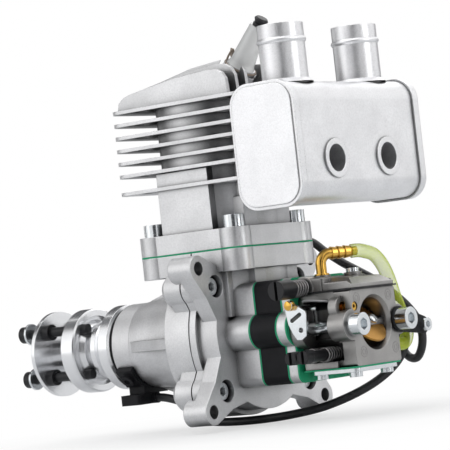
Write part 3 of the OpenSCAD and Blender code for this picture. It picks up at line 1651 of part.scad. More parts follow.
// Piston at the bottom of its stroke
module piston() {
  crown = wrist_z + crown_over_pin;
  skirt = wrist_z - skirt_under_pin;
  ring_z = crown - 4;
  color(machined)
    difference() {
      zcyl(skirt, crown, piston_r, cyl_x);
      zcyl(skirt - 1, crown - 4.5, piston_r - 2.6, cyl_x);
      difference() {
        zcyl(ring_z - 0.8, ring_z + 0.8, piston_r + 1, cyl_x);
        zcyl(ring_z - 2, ring_z + 2, piston_r - 1.6, cyl_x);
      }
      xcyl(cyl_x - 30, cyl_x + 30, wrist_pin_d / 2, 0, wrist_z);
      // Skirt cut away over the transfer ports
      for (side = [-1, 1])
        translate([cyl_x - 5, side * (piston_r - 1.3) - 2, skirt - 1])
          cube([10, 4, 7]);
    }
  // Pin bosses
  color(machined)
    for (side = [-1, 1])
      difference() {
        intersection() {
          xcyl(side > 0 ? cyl_x + rod_eye_w / 2 + 1 : cyl_x - piston_r + 0.5,
            side > 0 ? cyl_x + piston_r - 0.5 : cyl_x - rod_eye_w / 2 - 1,
            wrist_pin_d / 2 + 2.2, 0, wrist_z);
          zcyl(skirt, crown, piston_r - 2.6 + eps, cyl_x);
        }
        xcyl(cyl_x - 30, cyl_x + 30, wrist_pin_d / 2, 0, wrist_z);
      }
}

module piston_ring() {
  crown = wrist_z + crown_over_pin;
  ring_z = crown - 4;
  color(steel)
    difference() {
      zcyl(ring_z - 0.75, ring_z + 0.75, bore / 2 - 0.02, cyl_x);
      zcyl(ring_z - 2, ring_z + 2, piston_r - 1.5, cyl_x);
      translate([cyl_x - 25, -0.15, ring_z - 2])
        cube([12, 0.3, 4]);
    }
}

module wrist_pin() {
  half = piston_r - 1.6;
  color(steel) {
    difference() {
      xcyl(cyl_x - half, cyl_x + half, wrist_pin_d / 2, 0, wrist_z);
      xcyl(cyl_x - half - 1, cyl_x + half + 1, wrist_pin_d / 2 - 2, 0, wrist_z);
    }
  }
}

// Rod with round eyes and a tapered I-shaped shank
module connecting_rod() {
  big_r = big_end_r;
  small_r = wrist_pin_d / 2 + 2.6;
  x0 = cyl_x - rod_eye_w / 2;
  x1 = cyl_x + rod_eye_w / 2;
  color(steel)
    difference() {
      union() {
        xcyl(x0, x1, big_r, 0, -throw);
        xcyl(x0, x1, small_r, 0, wrist_z);
        xprism(cyl_x - 2.6, cyl_x + 2.6)
          polygon([[-6, -throw + 3], [6, -throw + 3], [4.2, wrist_z - 3], [-4.2, wrist_z - 3]]);
      }
      for (side = [0, 1])
        translate([cyl_x, 0, 0])
          mirror([side, 0, 0])
            xprism(1, 4)
              polygon([[-3.4, -throw + big_r + 2], [3.4, -throw + big_r + 2],
                [2, wrist_z - small_r - 2], [-2, wrist_z - small_r - 2]]);
      xcyl(x0 - 1, x1 + 1, crank_pin_d / 2, 0, -throw);
      xcyl(x0 - 1, x1 + 1, wrist_pin_d / 2 + run_gap, 0, wrist_z);
    }
}

module crank_pin() {
  color(machined)
    xcyl(cyl_x - rod_eye_w / 2 - 0.6, cyl_x + rod_eye_w / 2 + 1 - free_gap, crank_pin_d / 2, 0, -throw);
}

front_crankcase();
rear_crankcase();
case_gasket();
case_screws();
bearing_outer_rings();
shaft_seal();
finned_cylinder();
base_gasket();
cylinder_bolts();
plug_shell();
plug_insulator();
plug_terminal();
exhaust_gasket();
muffler_body();
muffler_end_caps();
muffler_stacks();
bolt_access_tubes();
muffler_bolts();
insulator_block();
intake_gaskets();
reed_cage();
spacer_plate();
carburettor_body();
carburettor_bolts();
pump_cover();
pump_gasket();
metering_cover();
metering_gasket();
cover_screws();
carburettor_springs();
fuel_elbow();
fuel_tube();
brass_fittings();
pickup_bracket();
pickup_sensor();
lead_strap();
pickup_lead();
lead_connector();
throttle_shaft();
throttle_plate();
throttle_lever();
choke_shaft();
choke_plate();
choke_lever();
idle_screw();
high_speed_needle();
low_speed_needle();
crankshaft();
bearing_inner_rings();
prop_hub();
prop_plate();
centre_spacer();
prop_bolts();
prop_washers();
piston();
piston_ring();
wrist_pin();
connecting_rod();
crank_pin();
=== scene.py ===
"""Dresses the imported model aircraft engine: finishes, springs, lead, fuel tube and a plain studio."""

import math

import bmesh
import bpy
from bpy.props import FloatProperty, FloatVectorProperty, IntProperty, PointerProperty
from mathutils import Matrix, Vector


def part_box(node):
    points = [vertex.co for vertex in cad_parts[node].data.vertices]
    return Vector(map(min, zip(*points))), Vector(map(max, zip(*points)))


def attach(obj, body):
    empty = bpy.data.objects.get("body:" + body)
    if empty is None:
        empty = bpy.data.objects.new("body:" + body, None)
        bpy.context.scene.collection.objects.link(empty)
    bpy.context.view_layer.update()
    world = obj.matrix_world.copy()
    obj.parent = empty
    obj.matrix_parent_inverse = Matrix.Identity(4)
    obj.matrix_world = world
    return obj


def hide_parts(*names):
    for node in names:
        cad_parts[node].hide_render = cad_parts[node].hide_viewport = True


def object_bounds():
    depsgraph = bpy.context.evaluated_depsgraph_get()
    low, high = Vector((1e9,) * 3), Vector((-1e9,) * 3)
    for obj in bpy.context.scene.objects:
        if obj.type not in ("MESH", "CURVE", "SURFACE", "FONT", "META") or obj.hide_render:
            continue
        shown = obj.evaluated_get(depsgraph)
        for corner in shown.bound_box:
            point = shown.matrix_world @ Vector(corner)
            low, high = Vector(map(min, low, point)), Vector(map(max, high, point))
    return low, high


bl_info = {
    "name": "Model Aircraft Engine Dresser",
    "version": (1, 0, 0),
    "blender": (4, 5, 0),
    "location": "View3D > Sidebar > Engine",
    "description": "Gives a packed two-stroke engine its finishes, wire parts, lead and studio",
    "category": "Object",
}

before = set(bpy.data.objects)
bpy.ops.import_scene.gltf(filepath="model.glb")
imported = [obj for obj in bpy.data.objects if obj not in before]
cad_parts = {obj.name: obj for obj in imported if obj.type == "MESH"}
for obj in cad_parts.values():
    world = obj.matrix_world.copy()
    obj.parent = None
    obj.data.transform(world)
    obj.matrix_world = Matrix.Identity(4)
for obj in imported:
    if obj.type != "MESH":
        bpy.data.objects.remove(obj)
CAD_LOW, CAD_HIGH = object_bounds()
ROOT = "engine"
MM = 0.001
# Lengths under this count as none, in metres
TINY = 1e-7


def colour(label, text, value):
    """A colour that a user may change."""
    return FloatVectorProperty(
        name=label, description=text, default=value, size=3, min=0, max=1, subtype="COLOR"
    )


def length(label, text, value):
    """A length that a user may change, in metres."""
    return FloatProperty(name=label, description=text, default=value, min=0, unit="LENGTH", precision=5)


def turns(label, text, value):
    """A number of turns that a user may change."""
    return IntProperty(name=label, description=text, default=value, min=2)


def power(label, text, value):
    """A lamp's power that a user may change, in watts."""
    return FloatProperty(name=label, description=text, default=value, min=0, unit="POWER")


class EngineFinishSettings(bpy.types.PropertyGroup):
    """Colours and grain of the engine's metals, plastics and gaskets."""

    cast: colour("Cast aluminium", "Colour of the sand-blasted castings", (0.78, 0.78, 0.79))
    muffler: colour("Muffler", "Colour of the satin muffler shell", (0.94, 0.94, 0.955))
    machined: colour("Machined aluminium", "Colour of the turned and milled faces", (0.90, 0.905, 0.92))
    carburettor: colour("Carburettor casting", "Colour of the raw die casting", (0.44, 0.43, 0.42))
    steel: colour("Steel", "Colour of ground steel", (0.42, 0.42, 0.43))
    zinc: colour("Zinc plating", "Colour of the plated screws", (0.80, 0.83, 0.85))
    black_steel: colour("Black oxide", "Colour of the blackened screws", (0.018, 0.018, 0.02))
    plastic: colour("Black plastic", "Colour of the moulded black parts", (0.012, 0.012, 0.014))
    rubber: colour("Rubber", "Colour of the lead's sleeve", (0.018, 0.018, 0.02))
    gasket: colour("Gasket", "Colour of the green gaskets", (0.01, 0.43, 0.20))
    compound: colour("Sealing compound", "Colour of the seal between the case halves", (0.40, 0.40, 0.41))
    brass: colour("Brass", "Colour of the fuel fittings", (0.80, 0.47, 0.10))
    bronze: colour("Bronze", "Colour of the butterfly plates", (0.62, 0.33, 0.08))
    spring: colour("Spring steel", "Colour of the screw springs", (0.27, 0.26, 0.26))
    tarnished: colour("Tarnished steel", "Colour of the plug's spring clip", (0.27, 0.22, 0.18))
    ceramic: colour("Ceramic", "Colour of the plug's glazed insulator", (0.90, 0.90, 0.88))
    fuel_tube: colour("Fuel tube", "Colour of the clear fuel tube", (0.78, 0.93, 0.05))
    grain: length("Casting grain", "Size of the blasted grain of the castings", 0.0006)


class EngineWireSettings(bpy.types.PropertyGroup):
    """Sizes of the springs of the three adjusting screws."""

    needle_wire: length("Needle spring wire", "Wire of the two mixture screw springs", 0.00075)
    needle_radius: length("Needle spring radius", "Middle radius of the mixture springs", 0.0026)
    needle_reach: length("Needle spring length", "Length of the mixture springs", 0.0105)
    idle_wire: length("Idle spring wire", "Wire of the idle screw spring", 0.0009)
    idle_radius: length("Idle spring radius", "Middle radius of the idle spring", 0.0031)
    needle_turns: turns("Needle spring turns", "Turns of the mixture springs", 6)
    idle_turns: turns("Idle spring turns", "Turns of the idle spring", 5)


class EngineStageSettings(bpy.types.PropertyGroup):
    """Floor, camera and lamps."""

    floor: colour("Floor", "Colour of the floor", (0.97, 0.97, 0.97))
    distance: length("Camera distance", "Distance of the camera from its target", 1.0710)
    focal: FloatProperty(
        name="Focal length", description="Lens for a 36 mm sensor", default=211.912, min=10
    )
    key: power("Key lamp", "Power of the lamp above", 2.6)
    fill: power("Fill lamp", "Power of the lamps at the sides", 0.8)
    rim: power("Rim lamp", "Power of the rear lamp", 1.2)


class Wire:
    """A shader socket that takes part in Python arithmetic by adding Math nodes."""

    def __init__(self, shade, socket):
        self.shade = shade
        self.socket = socket

    def _math(self, operation, first, second):
        return self.shade.node("Math", {"operation": operation}, [first, second])

    def __add__(self, other):
        return self._math("ADD", self, other)

    def __radd__(self, other):
        return self._math("ADD", other, self)

    def __sub__(self, other):
        return self._math("SUBTRACT", self, other)

    def __rsub__(self, other):
        return self._math("SUBTRACT", other, self)

    def __mul__(self, other):
        return self._math("MULTIPLY", self, other)


# Sockets of a mix node that carry its factor and its two colours, and its mixed colour
MIX_INPUTS = (0, 6, 7)
MIX_OUTPUT = 2
# Rays that each rounded edge and each shaded corner is measured with
EDGE_RAYS = 6
CORNER_RAYS = 6


class Shade:
    """A material under construction, with one method that adds any node."""

    def __init__(self, name):
        self.material = bpy.data.materials.new(name)
        self.material.use_nodes = True
        self.tree = self.material.node_tree
        self.tree.nodes.clear()
        self.output = self.tree.nodes.new("ShaderNodeOutputMaterial")
        self.principled = self.tree.nodes.new("ShaderNodeBsdfPrincipled")
        self.tree.links.new(self.principled.outputs[0], self.output.inputs[0])

    def plug(self, value, socket):
        """Links a Wire to a socket, or sets the socket to a plain value."""
        if isinstance(value, Wire):
            self.tree.links.new(value.socket, socket)
        else:
            socket.default_value = value

    def node(self, kind, settings=None, values=(), out=0):
        """Adds a node, sets its settings, then plugs its inputs, given in order or by name."""
        made = self.tree.nodes.new("ShaderNode" + kind)
        for key, value in (settings or {}).items():
            if key == "stops":
                ramp = made.color_ramp
                while len(ramp.elements) > 1:
                    ramp.elements.remove(ramp.elements[-1])
                for index, (place, tone) in enumerate(value):
                    stop = ramp.elements[0] if index == 0 else ramp.elements.new(place)
                    stop.position = place
                    stop.color = (tone, tone, tone, 1)
            else:
                setattr(made, key, value)
        pairs = values.items() if isinstance(values, dict) else enumerate(values)
        for key, value in pairs:
            self.plug(value, made.inputs[key])
        return Wire(self, made.outputs[out])

    def place(self):
        """Object coordinates, so a pattern stays on its piece."""
        return self.node("TexCoord", out=3)

    def noise(self, size, detail=4.0, rough=0.55):
        """Noise whose patches are about size metres wide."""
        return self.node(
            "TexNoise",
            {"noise_dimensions": "3D"},
            {"Vector": self.place(), "Scale": 1.0 / size, "Detail": detail, "Roughness": rough},
        )

    def ramp(self, value, *stops):
        """Value through a ramp of (place, brightness) stops."""
        return self.node("ValToRGB", {"stops": stops}, [value])

    def mix(self, factor, first, second):
        """Mix of two colours."""
        made = self.tree.nodes.new("ShaderNodeMix")
        made.data_type = "RGBA"
        for value, socket in zip((factor, first, second), MIX_INPUTS):
            self.plug(value, made.inputs[socket])
        return Wire(self, made.outputs[MIX_OUTPUT])

    def bump(self, height, strength, distance, normal=None):
        """Normal that a height pattern gives."""
        values = {"Strength": strength, "Distance": distance, "Height": height}
        if normal is not None:
            values["Normal"] = normal
        return self.node("Bump", None, values)

    def round_edges(self, radius):
        """Normal that is rounded over sharp edges."""
        return self.node("Bevel", {"samples": EDGE_RAYS}, {"Radius": radius})

    def edge_mask(self, rounded):
        """0 on flat faces, rising to 1 on sharp edges."""
        flat = self.node("NewGeometry", out=1)
        same = self.node("VectorMath", {"operation": "DOT_PRODUCT"}, [rounded, flat], out=1)
        return self.ramp(1.0 - same, (0.0, 0.0), (0.25, 1.0))

    def painted_shade(self, reach):
        """0 on open faces, rising to 1 deep in corners, for painting shade there."""
        open_share = self.node("AmbientOcclusion", {"samples": CORNER_RAYS}, {"Distance": reach}, out=1)
        return self.ramp(open_share, (0.2, 1.0), (0.85, 0.0))

    def finish(self, **sockets):
        """Plugs the shader's own sockets and returns the material."""
        for name, value in sockets.items():
            self.plug(value, self.principled.inputs[name.replace("_", " ")])
        return self.material


def rgba(value, shade=1.0):
    """The colour as red, green, blue and alpha, made darker or brighter by shade."""
    return (value[0] * shade, value[1] * shade, value[2] * shade, 1.0)


# Reach of the darkest shade, right where two faces meet, in metres
CREVICE_REACH = 0.0016


def cast_metal(
    name, base, grain, roughness=0.42, depth=0.00009, dirt=0.16, edge=0.00045, reach=0.008, metallic=0.92
):
    """Blasted casting: fine grain, faint clouds, painted shade in the corners and crevices, and edges made
    brighter by wear and a painted highlight.
    """
    shade = Shade(name)
    rounded = shade.round_edges(edge)
    wear_and_highlight = shade.edge_mask(rounded)
    painted_shade = shade.painted_shade(reach)
    clouds = shade.noise(0.014, 3.0)
    pits = shade.noise(grain, 2.0, 0.7)
    tone = shade.mix(shade.ramp(clouds, (0.3, 0.0), (0.7, 1.0)), rgba(base, 1 - dirt), rgba(base, 1.04))
    tone = shade.mix(shade.ramp(pits, (0.30, 0.35), (0.62, 0.0)), tone, rgba(base, 0.6))
    # Painted highlight: the edges turn brighter, partly as real wear
    tone = shade.mix(wear_and_highlight * 0.7, tone, rgba(base, 1.22))
    # Painted shade: darker deep in corners and between parts, darkest in the crevices where two faces meet
    tone = shade.mix(painted_shade, tone, rgba(base, 0.20))
    tone = shade.mix(shade.painted_shade(CREVICE_REACH) * 0.8, tone, rgba(base, 0.10))
    return shade.finish(
        Base_Color=tone,
        Metallic=metallic,
        Roughness=roughness + (pits - 0.5) * 0.22 - wear_and_highlight * 0.10,
        Normal=shade.bump(pits, 0.8, depth, rounded),
    )


# Scale of a wave texture whose rings are one metre apart
WAVE_SCALE = 0.31


def turned_metal(name, base, roughness=0.2, pitch=0.00045, depth=0.000006, edge=0.00025):
    """Turned metal: fine tool rings about the crank axis."""
    shade = Shade(name)
    rounded = shade.round_edges(edge)
    wear_and_highlight = shade.edge_mask(rounded)
    scale = WAVE_SCALE / pitch
    bands = shade.node(
        "TexWave",
        {"wave_type": "BANDS", "bands_direction": "X", "wave_profile": "SIN"},
        {"Vector": shade.place(), "Scale": scale, "Distortion": 0.6, "Detail": 1.0, "Detail Scale": 2.0},
    )
    rings = shade.node(
        "TexWave",
        {"wave_type": "RINGS", "rings_direction": "X", "wave_profile": "SIN"},
        {"Vector": shade.place(), "Scale": scale, "Distortion": 0.4},
    )
    marks = (bands + rings) * 0.5
    smear = shade.noise(0.006, 3.0)
    tone = shade.mix(smear, rgba(base, 0.97), rgba(base, 1.02))
    # Painted highlight: the base colour turns brighter on the edges, partly as wear
    return shade.finish(
        Base_Color=shade.mix(wear_and_highlight * 0.4, tone, rgba(base, 1.1)),
        Metallic=0.9,
        Roughness=roughness + smear * 0.05,
        Normal=shade.bump(marks, 0.35, depth, rounded),
    )


def plated_metal(name, base, roughness=0.16, metallic=1.0, edge=0.0003):
    """Bright plated or polished metal with faint handling haze."""
    shade = Shade(name)
    rounded = shade.round_edges(edge)
    haze = shade.noise(0.0016, 4.0, 0.6)
    broad = shade.noise(0.007, 2.0)
    tone = shade.mix(broad, rgba(base, 0.88), rgba(base, 1.06))
    return shade.finish(
        Base_Color=tone,
        Metallic=metallic,
        Roughness=roughness + haze * 0.14,
        Normal=shade.bump(haze, 0.25, 0.00001, rounded),
    )


def moulded(name, base, roughness=0.4, grain=0.0005, depth=0.00003, edge=0.0004, shine=0.5):
    """Moulded plastic or rubber with a fine spark-eroded grain, and edges made paler by rubbing and a
    painted highlight.
    """
    shade = Shade(name)
    rounded = shade.round_edges(edge)
    wear_and_highlight = shade.edge_mask(rounded)
    pits = shade.noise(grain, 3.0, 0.6)
    dust = shade.noise(0.009, 4.0)
    tone = shade.mix(shade.ramp(dust, (0.4, 0.0), (0.8, 0.5)), rgba(base), rgba(base, 1.9))
    # Painted highlight: the edges turn paler, partly as rubbed wear
    tone = shade.mix(wear_and_highlight * 0.35, tone, rgba([min(1.0, c * 2.4 + 0.03) for c in base]))
    return shade.finish(
        Base_Color=tone,
        Roughness=roughness + (pits - 0.5) * 0.2,
        Specular_IOR_Level=shine,
        Normal=shade.bump(pits, 0.5, depth, rounded),
    )


def fibre_gasket(name, base):
    """Pressed fibre sheet with specks and a frayed edge."""
    shade = Shade(name)
    specks = shade.noise(0.0004, 4.0, 0.7)
    broad = shade.noise(0.004, 3.0)
    tone = shade.mix(specks, rgba(base, 0.75), rgba(base, 1.2))
    pale = rgba([min(1, c + 0.12) for c in base])
    tone = shade.mix(shade.ramp(broad, (0.45, 0.0), (0.8, 0.5)), tone, pale)
    return shade.finish(
        Base_Color=tone,
        Roughness=0.5 + specks * 0.25,
        Normal=shade.bump(specks, 0.6, 0.00004),
    )


def glazed(name, base):
    """Glazed ceramic with a faint waviness."""
    shade = Shade(name)
    waves = shade.noise(0.003, 2.0)
    tone = shade.mix(waves, rgba(base, 0.96), rgba(base, 1.03))
    made = shade.finish(
        Base_Color=tone, Roughness=0.12 + waves * 0.08, Normal=shade.bump(waves, 0.2, 0.00005)
    )
    shade.principled.inputs["Coat Weight"].default_value = 0.6
    shade.principled.inputs["Coat Roughness"].default_value = 0.08
    return made


def clear_tube(name, base):
    """Soft clear tube: easy to look through in the middle, full of colour at its rims."""
    shade = Shade(name)
    clouds = shade.noise(0.004, 2.0)
    slant = shade.node("LayerWeight", values={"Blend": 0.5}, out=1)
    rim = shade.ramp(slant, (0.25, 0.0), (0.85, 1.0))
    tone = shade.mix(rim, rgba([min(1, c * 1.05 + 0.04) for c in base]), rgba(base, 0.86))
    made = shade.finish(
        Base_Color=tone, Roughness=0.08 + clouds * 0.06, Alpha=0.34 + rim * 0.50 + clouds * 0.05
    )
    shade.principled.inputs["IOR"].default_value = 1.42
    return made


MATERIALS = {}


def build_materials(looks):
    """Makes every material once, from the user's colours."""
    MATERIALS.update(
        {
            "cast": cast_metal("cast_aluminium", looks.cast, looks.grain),
            "muffler": cast_metal(
                "satin_muffler", looks.muffler, looks.grain * 0.9, roughness=0.38, depth=0.00006, dirt=0.07
            ),
            # The fins' painted shade reaches further, into the gaps between them
            "fins": cast_metal(
                "cast_fins", looks.cast, looks.grain,
                roughness=0.38, depth=0.00007, dirt=0.12, edge=0.0003, reach=0.016,
            ),
            "machined": turned_metal("turned_aluminium", looks.machined),
            "carburettor": cast_metal(
                "raw_die_casting", looks.carburettor, looks.grain * 0.7,
                roughness=0.36, depth=0.00004, dirt=0.2,
            ),
            "steel": plated_metal("ground_steel", looks.steel, roughness=0.24),
            "zinc": plated_metal("zinc_plating", looks.zinc, roughness=0.12),
            "screws": cast_metal(
                "plated_screws", looks.zinc, looks.grain,
                roughness=0.30, depth=0.00002, dirt=0.04, edge=0.0003, reach=0.0025, metallic=0.45,
            ),
            "black_steel": plated_metal("black_oxide", looks.black_steel, roughness=0.3, metallic=0.35),
            "plastic": moulded("black_plastic", looks.plastic, roughness=0.42, shine=0.16),
            "rubber": moulded("black_rubber", looks.rubber, roughness=0.38, grain=0.0008, depth=0.00002),
            "gasket": fibre_gasket("green_gasket", looks.gasket),
            "black_gasket": fibre_gasket("black_gasket", looks.plastic),
            "compound": fibre_gasket("grey_sealing_compound", looks.compound),
            "brass": plated_metal("bright_brass", looks.brass, roughness=0.14),
            "bronze": plated_metal("bronze_plate", looks.bronze, roughness=0.26),
            "spring": plated_metal("spring_steel", looks.spring, roughness=0.22),
            "tarnished": plated_metal("tarnished_steel", looks.tarnished, roughness=0.38, metallic=0.7),
            "ceramic": glazed("glazed_ceramic", looks.ceramic),
            "tube": clear_tube("clear_fuel_tube", looks.fuel_tube),
        }
    )


NODE_LOOK = {
    "front_crankcase": "cast",
    "rear_crankcase": "cast",
    "finned_cylinder": "fins",
    "muffler_body": "muffler",
    "muffler_end_caps": "muffler",
    "muffler_stacks": "muffler",
    "bolt_access_tubes": "muffler",
    "spacer_plate": "cast",
    "carburettor_body": "carburettor",
    "pump_cover": "carburettor",
    "prop_hub": "machined",
    "prop_plate": "machined",
    "piston": "machined",
    "reed_cage": "machined",
    "centre_spacer": "machined",
    "bearing_outer_rings": "steel",
    "bearing_inner_rings": "steel",
    "plug_shell": "steel",
    "plug_terminal": "black_steel",
    "exhaust_gasket": "steel",
    "carburettor_springs": "steel",
    "throttle_shaft": "steel",
    "choke_shaft": "steel",
    "crankshaft": "steel",
    "piston_ring": "steel",
    "wrist_pin": "steel",
    "connecting_rod": "steel",
    "crank_pin": "steel",
    "case_screws": "screws",
    "cylinder_bolts": "zinc",
    "muffler_bolts": "black_steel",
    "carburettor_bolts": "zinc",
    "metering_cover": "zinc",
    "cover_screws": "zinc",
    "prop_washers": "zinc",
    "throttle_lever": "zinc",
    "prop_bolts": "black_steel",
    "idle_screw": "black_steel",
    "high_speed_needle": "black_steel",
    "low_speed_needle": "black_steel",
    "insulator_block": "plastic",
    "pickup_bracket": "plastic",
    "pickup_sensor": "plastic",
    "lead_connector": "plastic",
    "choke_lever": "plastic",
    "lead_strap": "plastic",
    "shaft_seal": "rubber",
    "pickup_lead": "rubber",
    "case_gasket": "compound",
    "base_gasket": "gasket",
    "intake_gaskets": "gasket",
    "metering_gasket": "gasket",
    "pump_gasket": "black_gasket",
    "plug_insulator": "ceramic",
    "fuel_elbow": "brass",
    "brass_fittings": "brass",
    "throttle_plate": "bronze",
    "choke_plate": "bronze",
    "fuel_tube": "tube",
}


def smooth_route(points, steps):
    """A smooth curve through the points, as a list of vectors."""
    route = []
    last = len(points) - 1
    for i in range(last):
        a = Vector(points[max(i - 1, 0)])
        b = Vector(points[i])
        c = Vector(points[i + 1])
        d = Vector(points[min(i + 2, last)])
        for s in range(steps):
            t = s / steps
            route.append(
                0.5
                * (
                    2 * b
                    + (c - a) * t
                    + (2 * a - 5 * b + 4 * c - d) * t * t
                    + (3 * b - a - 3 * c + d) * t * t * t
                )
            )
    route.append(Vector(points[-1]))
    return route


def route_length(route):
    """Length along the route."""
    return sum((b - a).length for a, b in zip(route, route[1:]))


def cord_curve(name, route, radius, material):
    """An open curve with a round section that follows the route."""
    data = bpy.data.curves.new(name, "CURVE")
    data.dimensions = "3D"
    data.bevel_depth = radius
    data.bevel_resolution = 5
    data.use_fill_caps = True
    spline = data.splines.new("POLY")
    spline.points.add(len(route) - 1)
    for point, place in zip(spline.points, route):
        point.co = (*place, 1)
    data.materials.append(material)
    made = bpy.data.objects.new(name, data)
    bpy.context.scene.collection.objects.link(made)
    return made


# Edges that turn by more than this stay sharp
SHARP_FROM = math.radians(40)


def mesh_piece(name, maker, material):
    """A mesh object whose shape maker draws into a bmesh."""
    shape = bmesh.new()
    maker(shape)
    bmesh.ops.remove_doubles(shape, verts=shape.verts, dist=TINY)
    bmesh.ops.recalc_face_normals(shape, faces=shape.faces)
    for face in shape.faces:
        face.smooth = True
    for edge in shape.edges:
        if len(edge.link_faces) == 2 and edge.calc_face_angle(0) > SHARP_FROM:
            edge.smooth = False
    data = bpy.data.meshes.new(name)
    shape.to_mesh(data)
    shape.free()
    data.materials.append(material)
    made = bpy.data.objects.new(name, data)
    bpy.context.scene.collection.objects.link(made)
    return made


def add_tube(shape, route, radius, sides):
    """A closed round tube along a route."""
    rings = []
    over = None
    for i, place in enumerate(route):
        along = (route[min(i + 1, len(route) - 1)] - route[max(i - 1, 0)]).normalized()
        if over is None:
            over = along.orthogonal().normalized()
        else:
            over = (over - along * over.dot(along)).normalized()
        side = along.cross(over)
        rings.append(
            [
                shape.verts.new(
                    place + radius * (math.cos(t) * over + math.sin(t) * side)
                )
                for t in (2 * math.pi * k / sides for k in range(sides))
            ]
        )
    for a, b in zip(rings, rings[1:]):
        for k in range(sides):
            n = (k + 1) % sides
            shape.faces.new((a[k], a[n], b[n], b[k]))
    shape.faces.new(rings[0][::-1])
    shape.faces.new(rings[-1])


def add_lathe(shape, profile, base, axis, sides=32):
    """A turned body from (radius, height) pairs along the axis from base."""
    axis = Vector(axis).normalized()
    over = axis.orthogonal().normalized()
    side = axis.cross(over)
    rings = []
    for radius, height in profile:
        centre = Vector(base) + axis * height
        if radius < TINY:
            rings.append([shape.verts.new(centre)])
        else:
            rings.append(
                [
                    shape.verts.new(centre + radius * (math.cos(t) * over + math.sin(t) * side))
                    for t in (2 * math.pi * k / sides for k in range(sides))
                ]
            )
    for a, b in zip(rings, rings[1:]):
        for k in range(sides):
            n = (k + 1) % sides
            corners = [a[k % len(a)], a[n % len(a)], b[n % len(b)], b[k % len(b)]]
            shape.faces.new(list(dict.fromkeys(corners)))


def dome_profile(radius, height):
    """Top of a domed screw head with a soft rim, as (radius, height) pairs."""
    return [
        (radius, height * 0.45),
        (radius * 0.94, height * 0.66),
        (radius * 0.78, height * 0.86),
        (radius * 0.5, height * 0.97),
        (0, height),
    ]


class Plan:
    """A Geometry Nodes tree with named inputs and one output."""

    def __init__(self, name, inputs):
        self.tree = bpy.data.node_groups.new(name, "GeometryNodeTree")
        self.tree.interface.new_socket("Geometry", in_out="OUTPUT", socket_type="NodeSocketGeometry")
        self.names = {}
        for label, kind, default in inputs:
            made = self.tree.interface.new_socket(label, in_out="INPUT", socket_type="NodeSocket" + kind)
            if kind != "Material":
                made.default_value = default
            self.names[label] = made.identifier
        self.start = self.tree.nodes.new("NodeGroupInput")
        self.end = self.tree.nodes.new("NodeGroupOutput")

    def value(self, label):
        """The tree's input of that name."""
        return self.start.outputs[label]

    def node(self, kind, **inputs):
        """Adds a node and plugs its inputs by name."""
        made = self.tree.nodes.new("GeometryNode" + kind)
        for key, value in inputs.items():
            socket = made.inputs[key.replace("_", " ")]
            if isinstance(value, bpy.types.NodeSocket):
                self.tree.links.new(value, socket)
            else:
                socket.default_value = value
        return made.outputs[0]

    def close(self, geometry, material):
        """Ends the tree in Realize Instances and Set Material."""
        real = self.node("RealizeInstances", Geometry=geometry)
        done = self.node("SetMaterial", Geometry=real, Material=material)
        self.tree.links.new(done, self.end.inputs[0])


def grow(name, plan, values, place):
    """A plain mesh from a Geometry Nodes tree, with its place in its mesh."""
    made = bpy.data.objects.new(name, bpy.data.meshes.new(name + "_seed"))
    bpy.context.scene.collection.objects.link(made)
    modifier = made.modifiers.new("Plan", "NODES")
    modifier.node_group = plan.tree
    for label, value in values.items():
        modifier[plan.names[label]] = value
    graph = bpy.context.evaluated_depsgraph_get()
    data = bpy.data.meshes.new_from_object(made.evaluated_get(graph))
    made.modifiers.clear()
    data.transform(place)
    made.data = data
    data.name = name
    return made


def join(name, parts):
    """One mesh object out of several."""
    shape = bmesh.new()
    for part in parts:
        shape.from_mesh(part.data)
    data = bpy.data.meshes.new(name)
    shape.to_mesh(data)
    shape.free()
    for material in parts[0].data.materials:
        data.materials.append(material)
    for part in parts:
        bpy.data.objects.remove(part)
    for face in data.polygons:
        face.use_smooth = True
    made = bpy.data.objects.new(name, data)
    bpy.context.scene.collection.objects.link(made)
    return made


def middle(node):
    """Middle of a CAD node's box."""
    low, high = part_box(node)
    return (low + high) / 2


# Points of the pickup lead, in millimetres, as the CAD has them
LEAD_POINTS = [
    (54.5, 4, -21.7), (51, 4.2, -22), (46, 4.7, -23), (42, 5.1, -24.2), (38, 5.5, -26.2),
    (33, 6, -29.4), (28.5, 6.3, -32.1), (24, 6.5, -33.4), (14, 5, -34), (3, 2, -34), (-8, -3, -33.3),
    (-19, -10, -31.5), (-29, -19, -27.5), (-36, -27, -22.5), (-41, -32.5, -16.5), (-43.5, -35.2, -10),
    (-43.2, -36, -4), (-40.3, -37.5, 0.3), (-36.5, -40.5, -0.6), (-34.5, -43, -5.5),
    (-35.5, -43.8, -11.5), (-39.5, -42.8, -16), (-44.5, -41, -16.4), (-48, -39.8, -12.5),
    (-49.4, -39, -7), (-48.8, -37.6, -1), (-45.6, -35.8, 5), (-40, -35, 10.5), (-33, -34.8, 16),
    (-25, -34.8, 20.6), (-17, -35, 25), (-9, -35.8, 30), (-3, -36.5, 34.2), (3, -37, 36),
    (8.5, -37.6, 36.2), (14, -38.3, 33.8), (17.6, -39, 29.6), (19.2, -39.6, 24), (20.2, -40.5, 17),
    (20.3, -40.6, 12), (20.3, -40.6, 8),
]
LEAD_DIAMETER = 0.0034
# Points of the fuel tube, in millimetres, from the elbow round to the inlet nipple
TUBE_POINTS = [
    (-43.8, -4.2, 28.4), (-45.4, -6.7, 28.4), (-46.4, -9.6, 27.8), (-47, -14.8, 26.2),
    (-47.2, -19.4, 22.2), (-47.3, -22.9, 16.4), (-47.3, -25.7, 9), (-47.3, -28.6, 3),
    (-47.4, -30.6, -2), (-47.3, -31.4, -6.2), (-47, -29.7, -9.4), (-46.6, -26, -10), (-46.6, -23, -10),
    (-46.6, -20.4, -10),
]
TUBE_RADIUS = 2.72
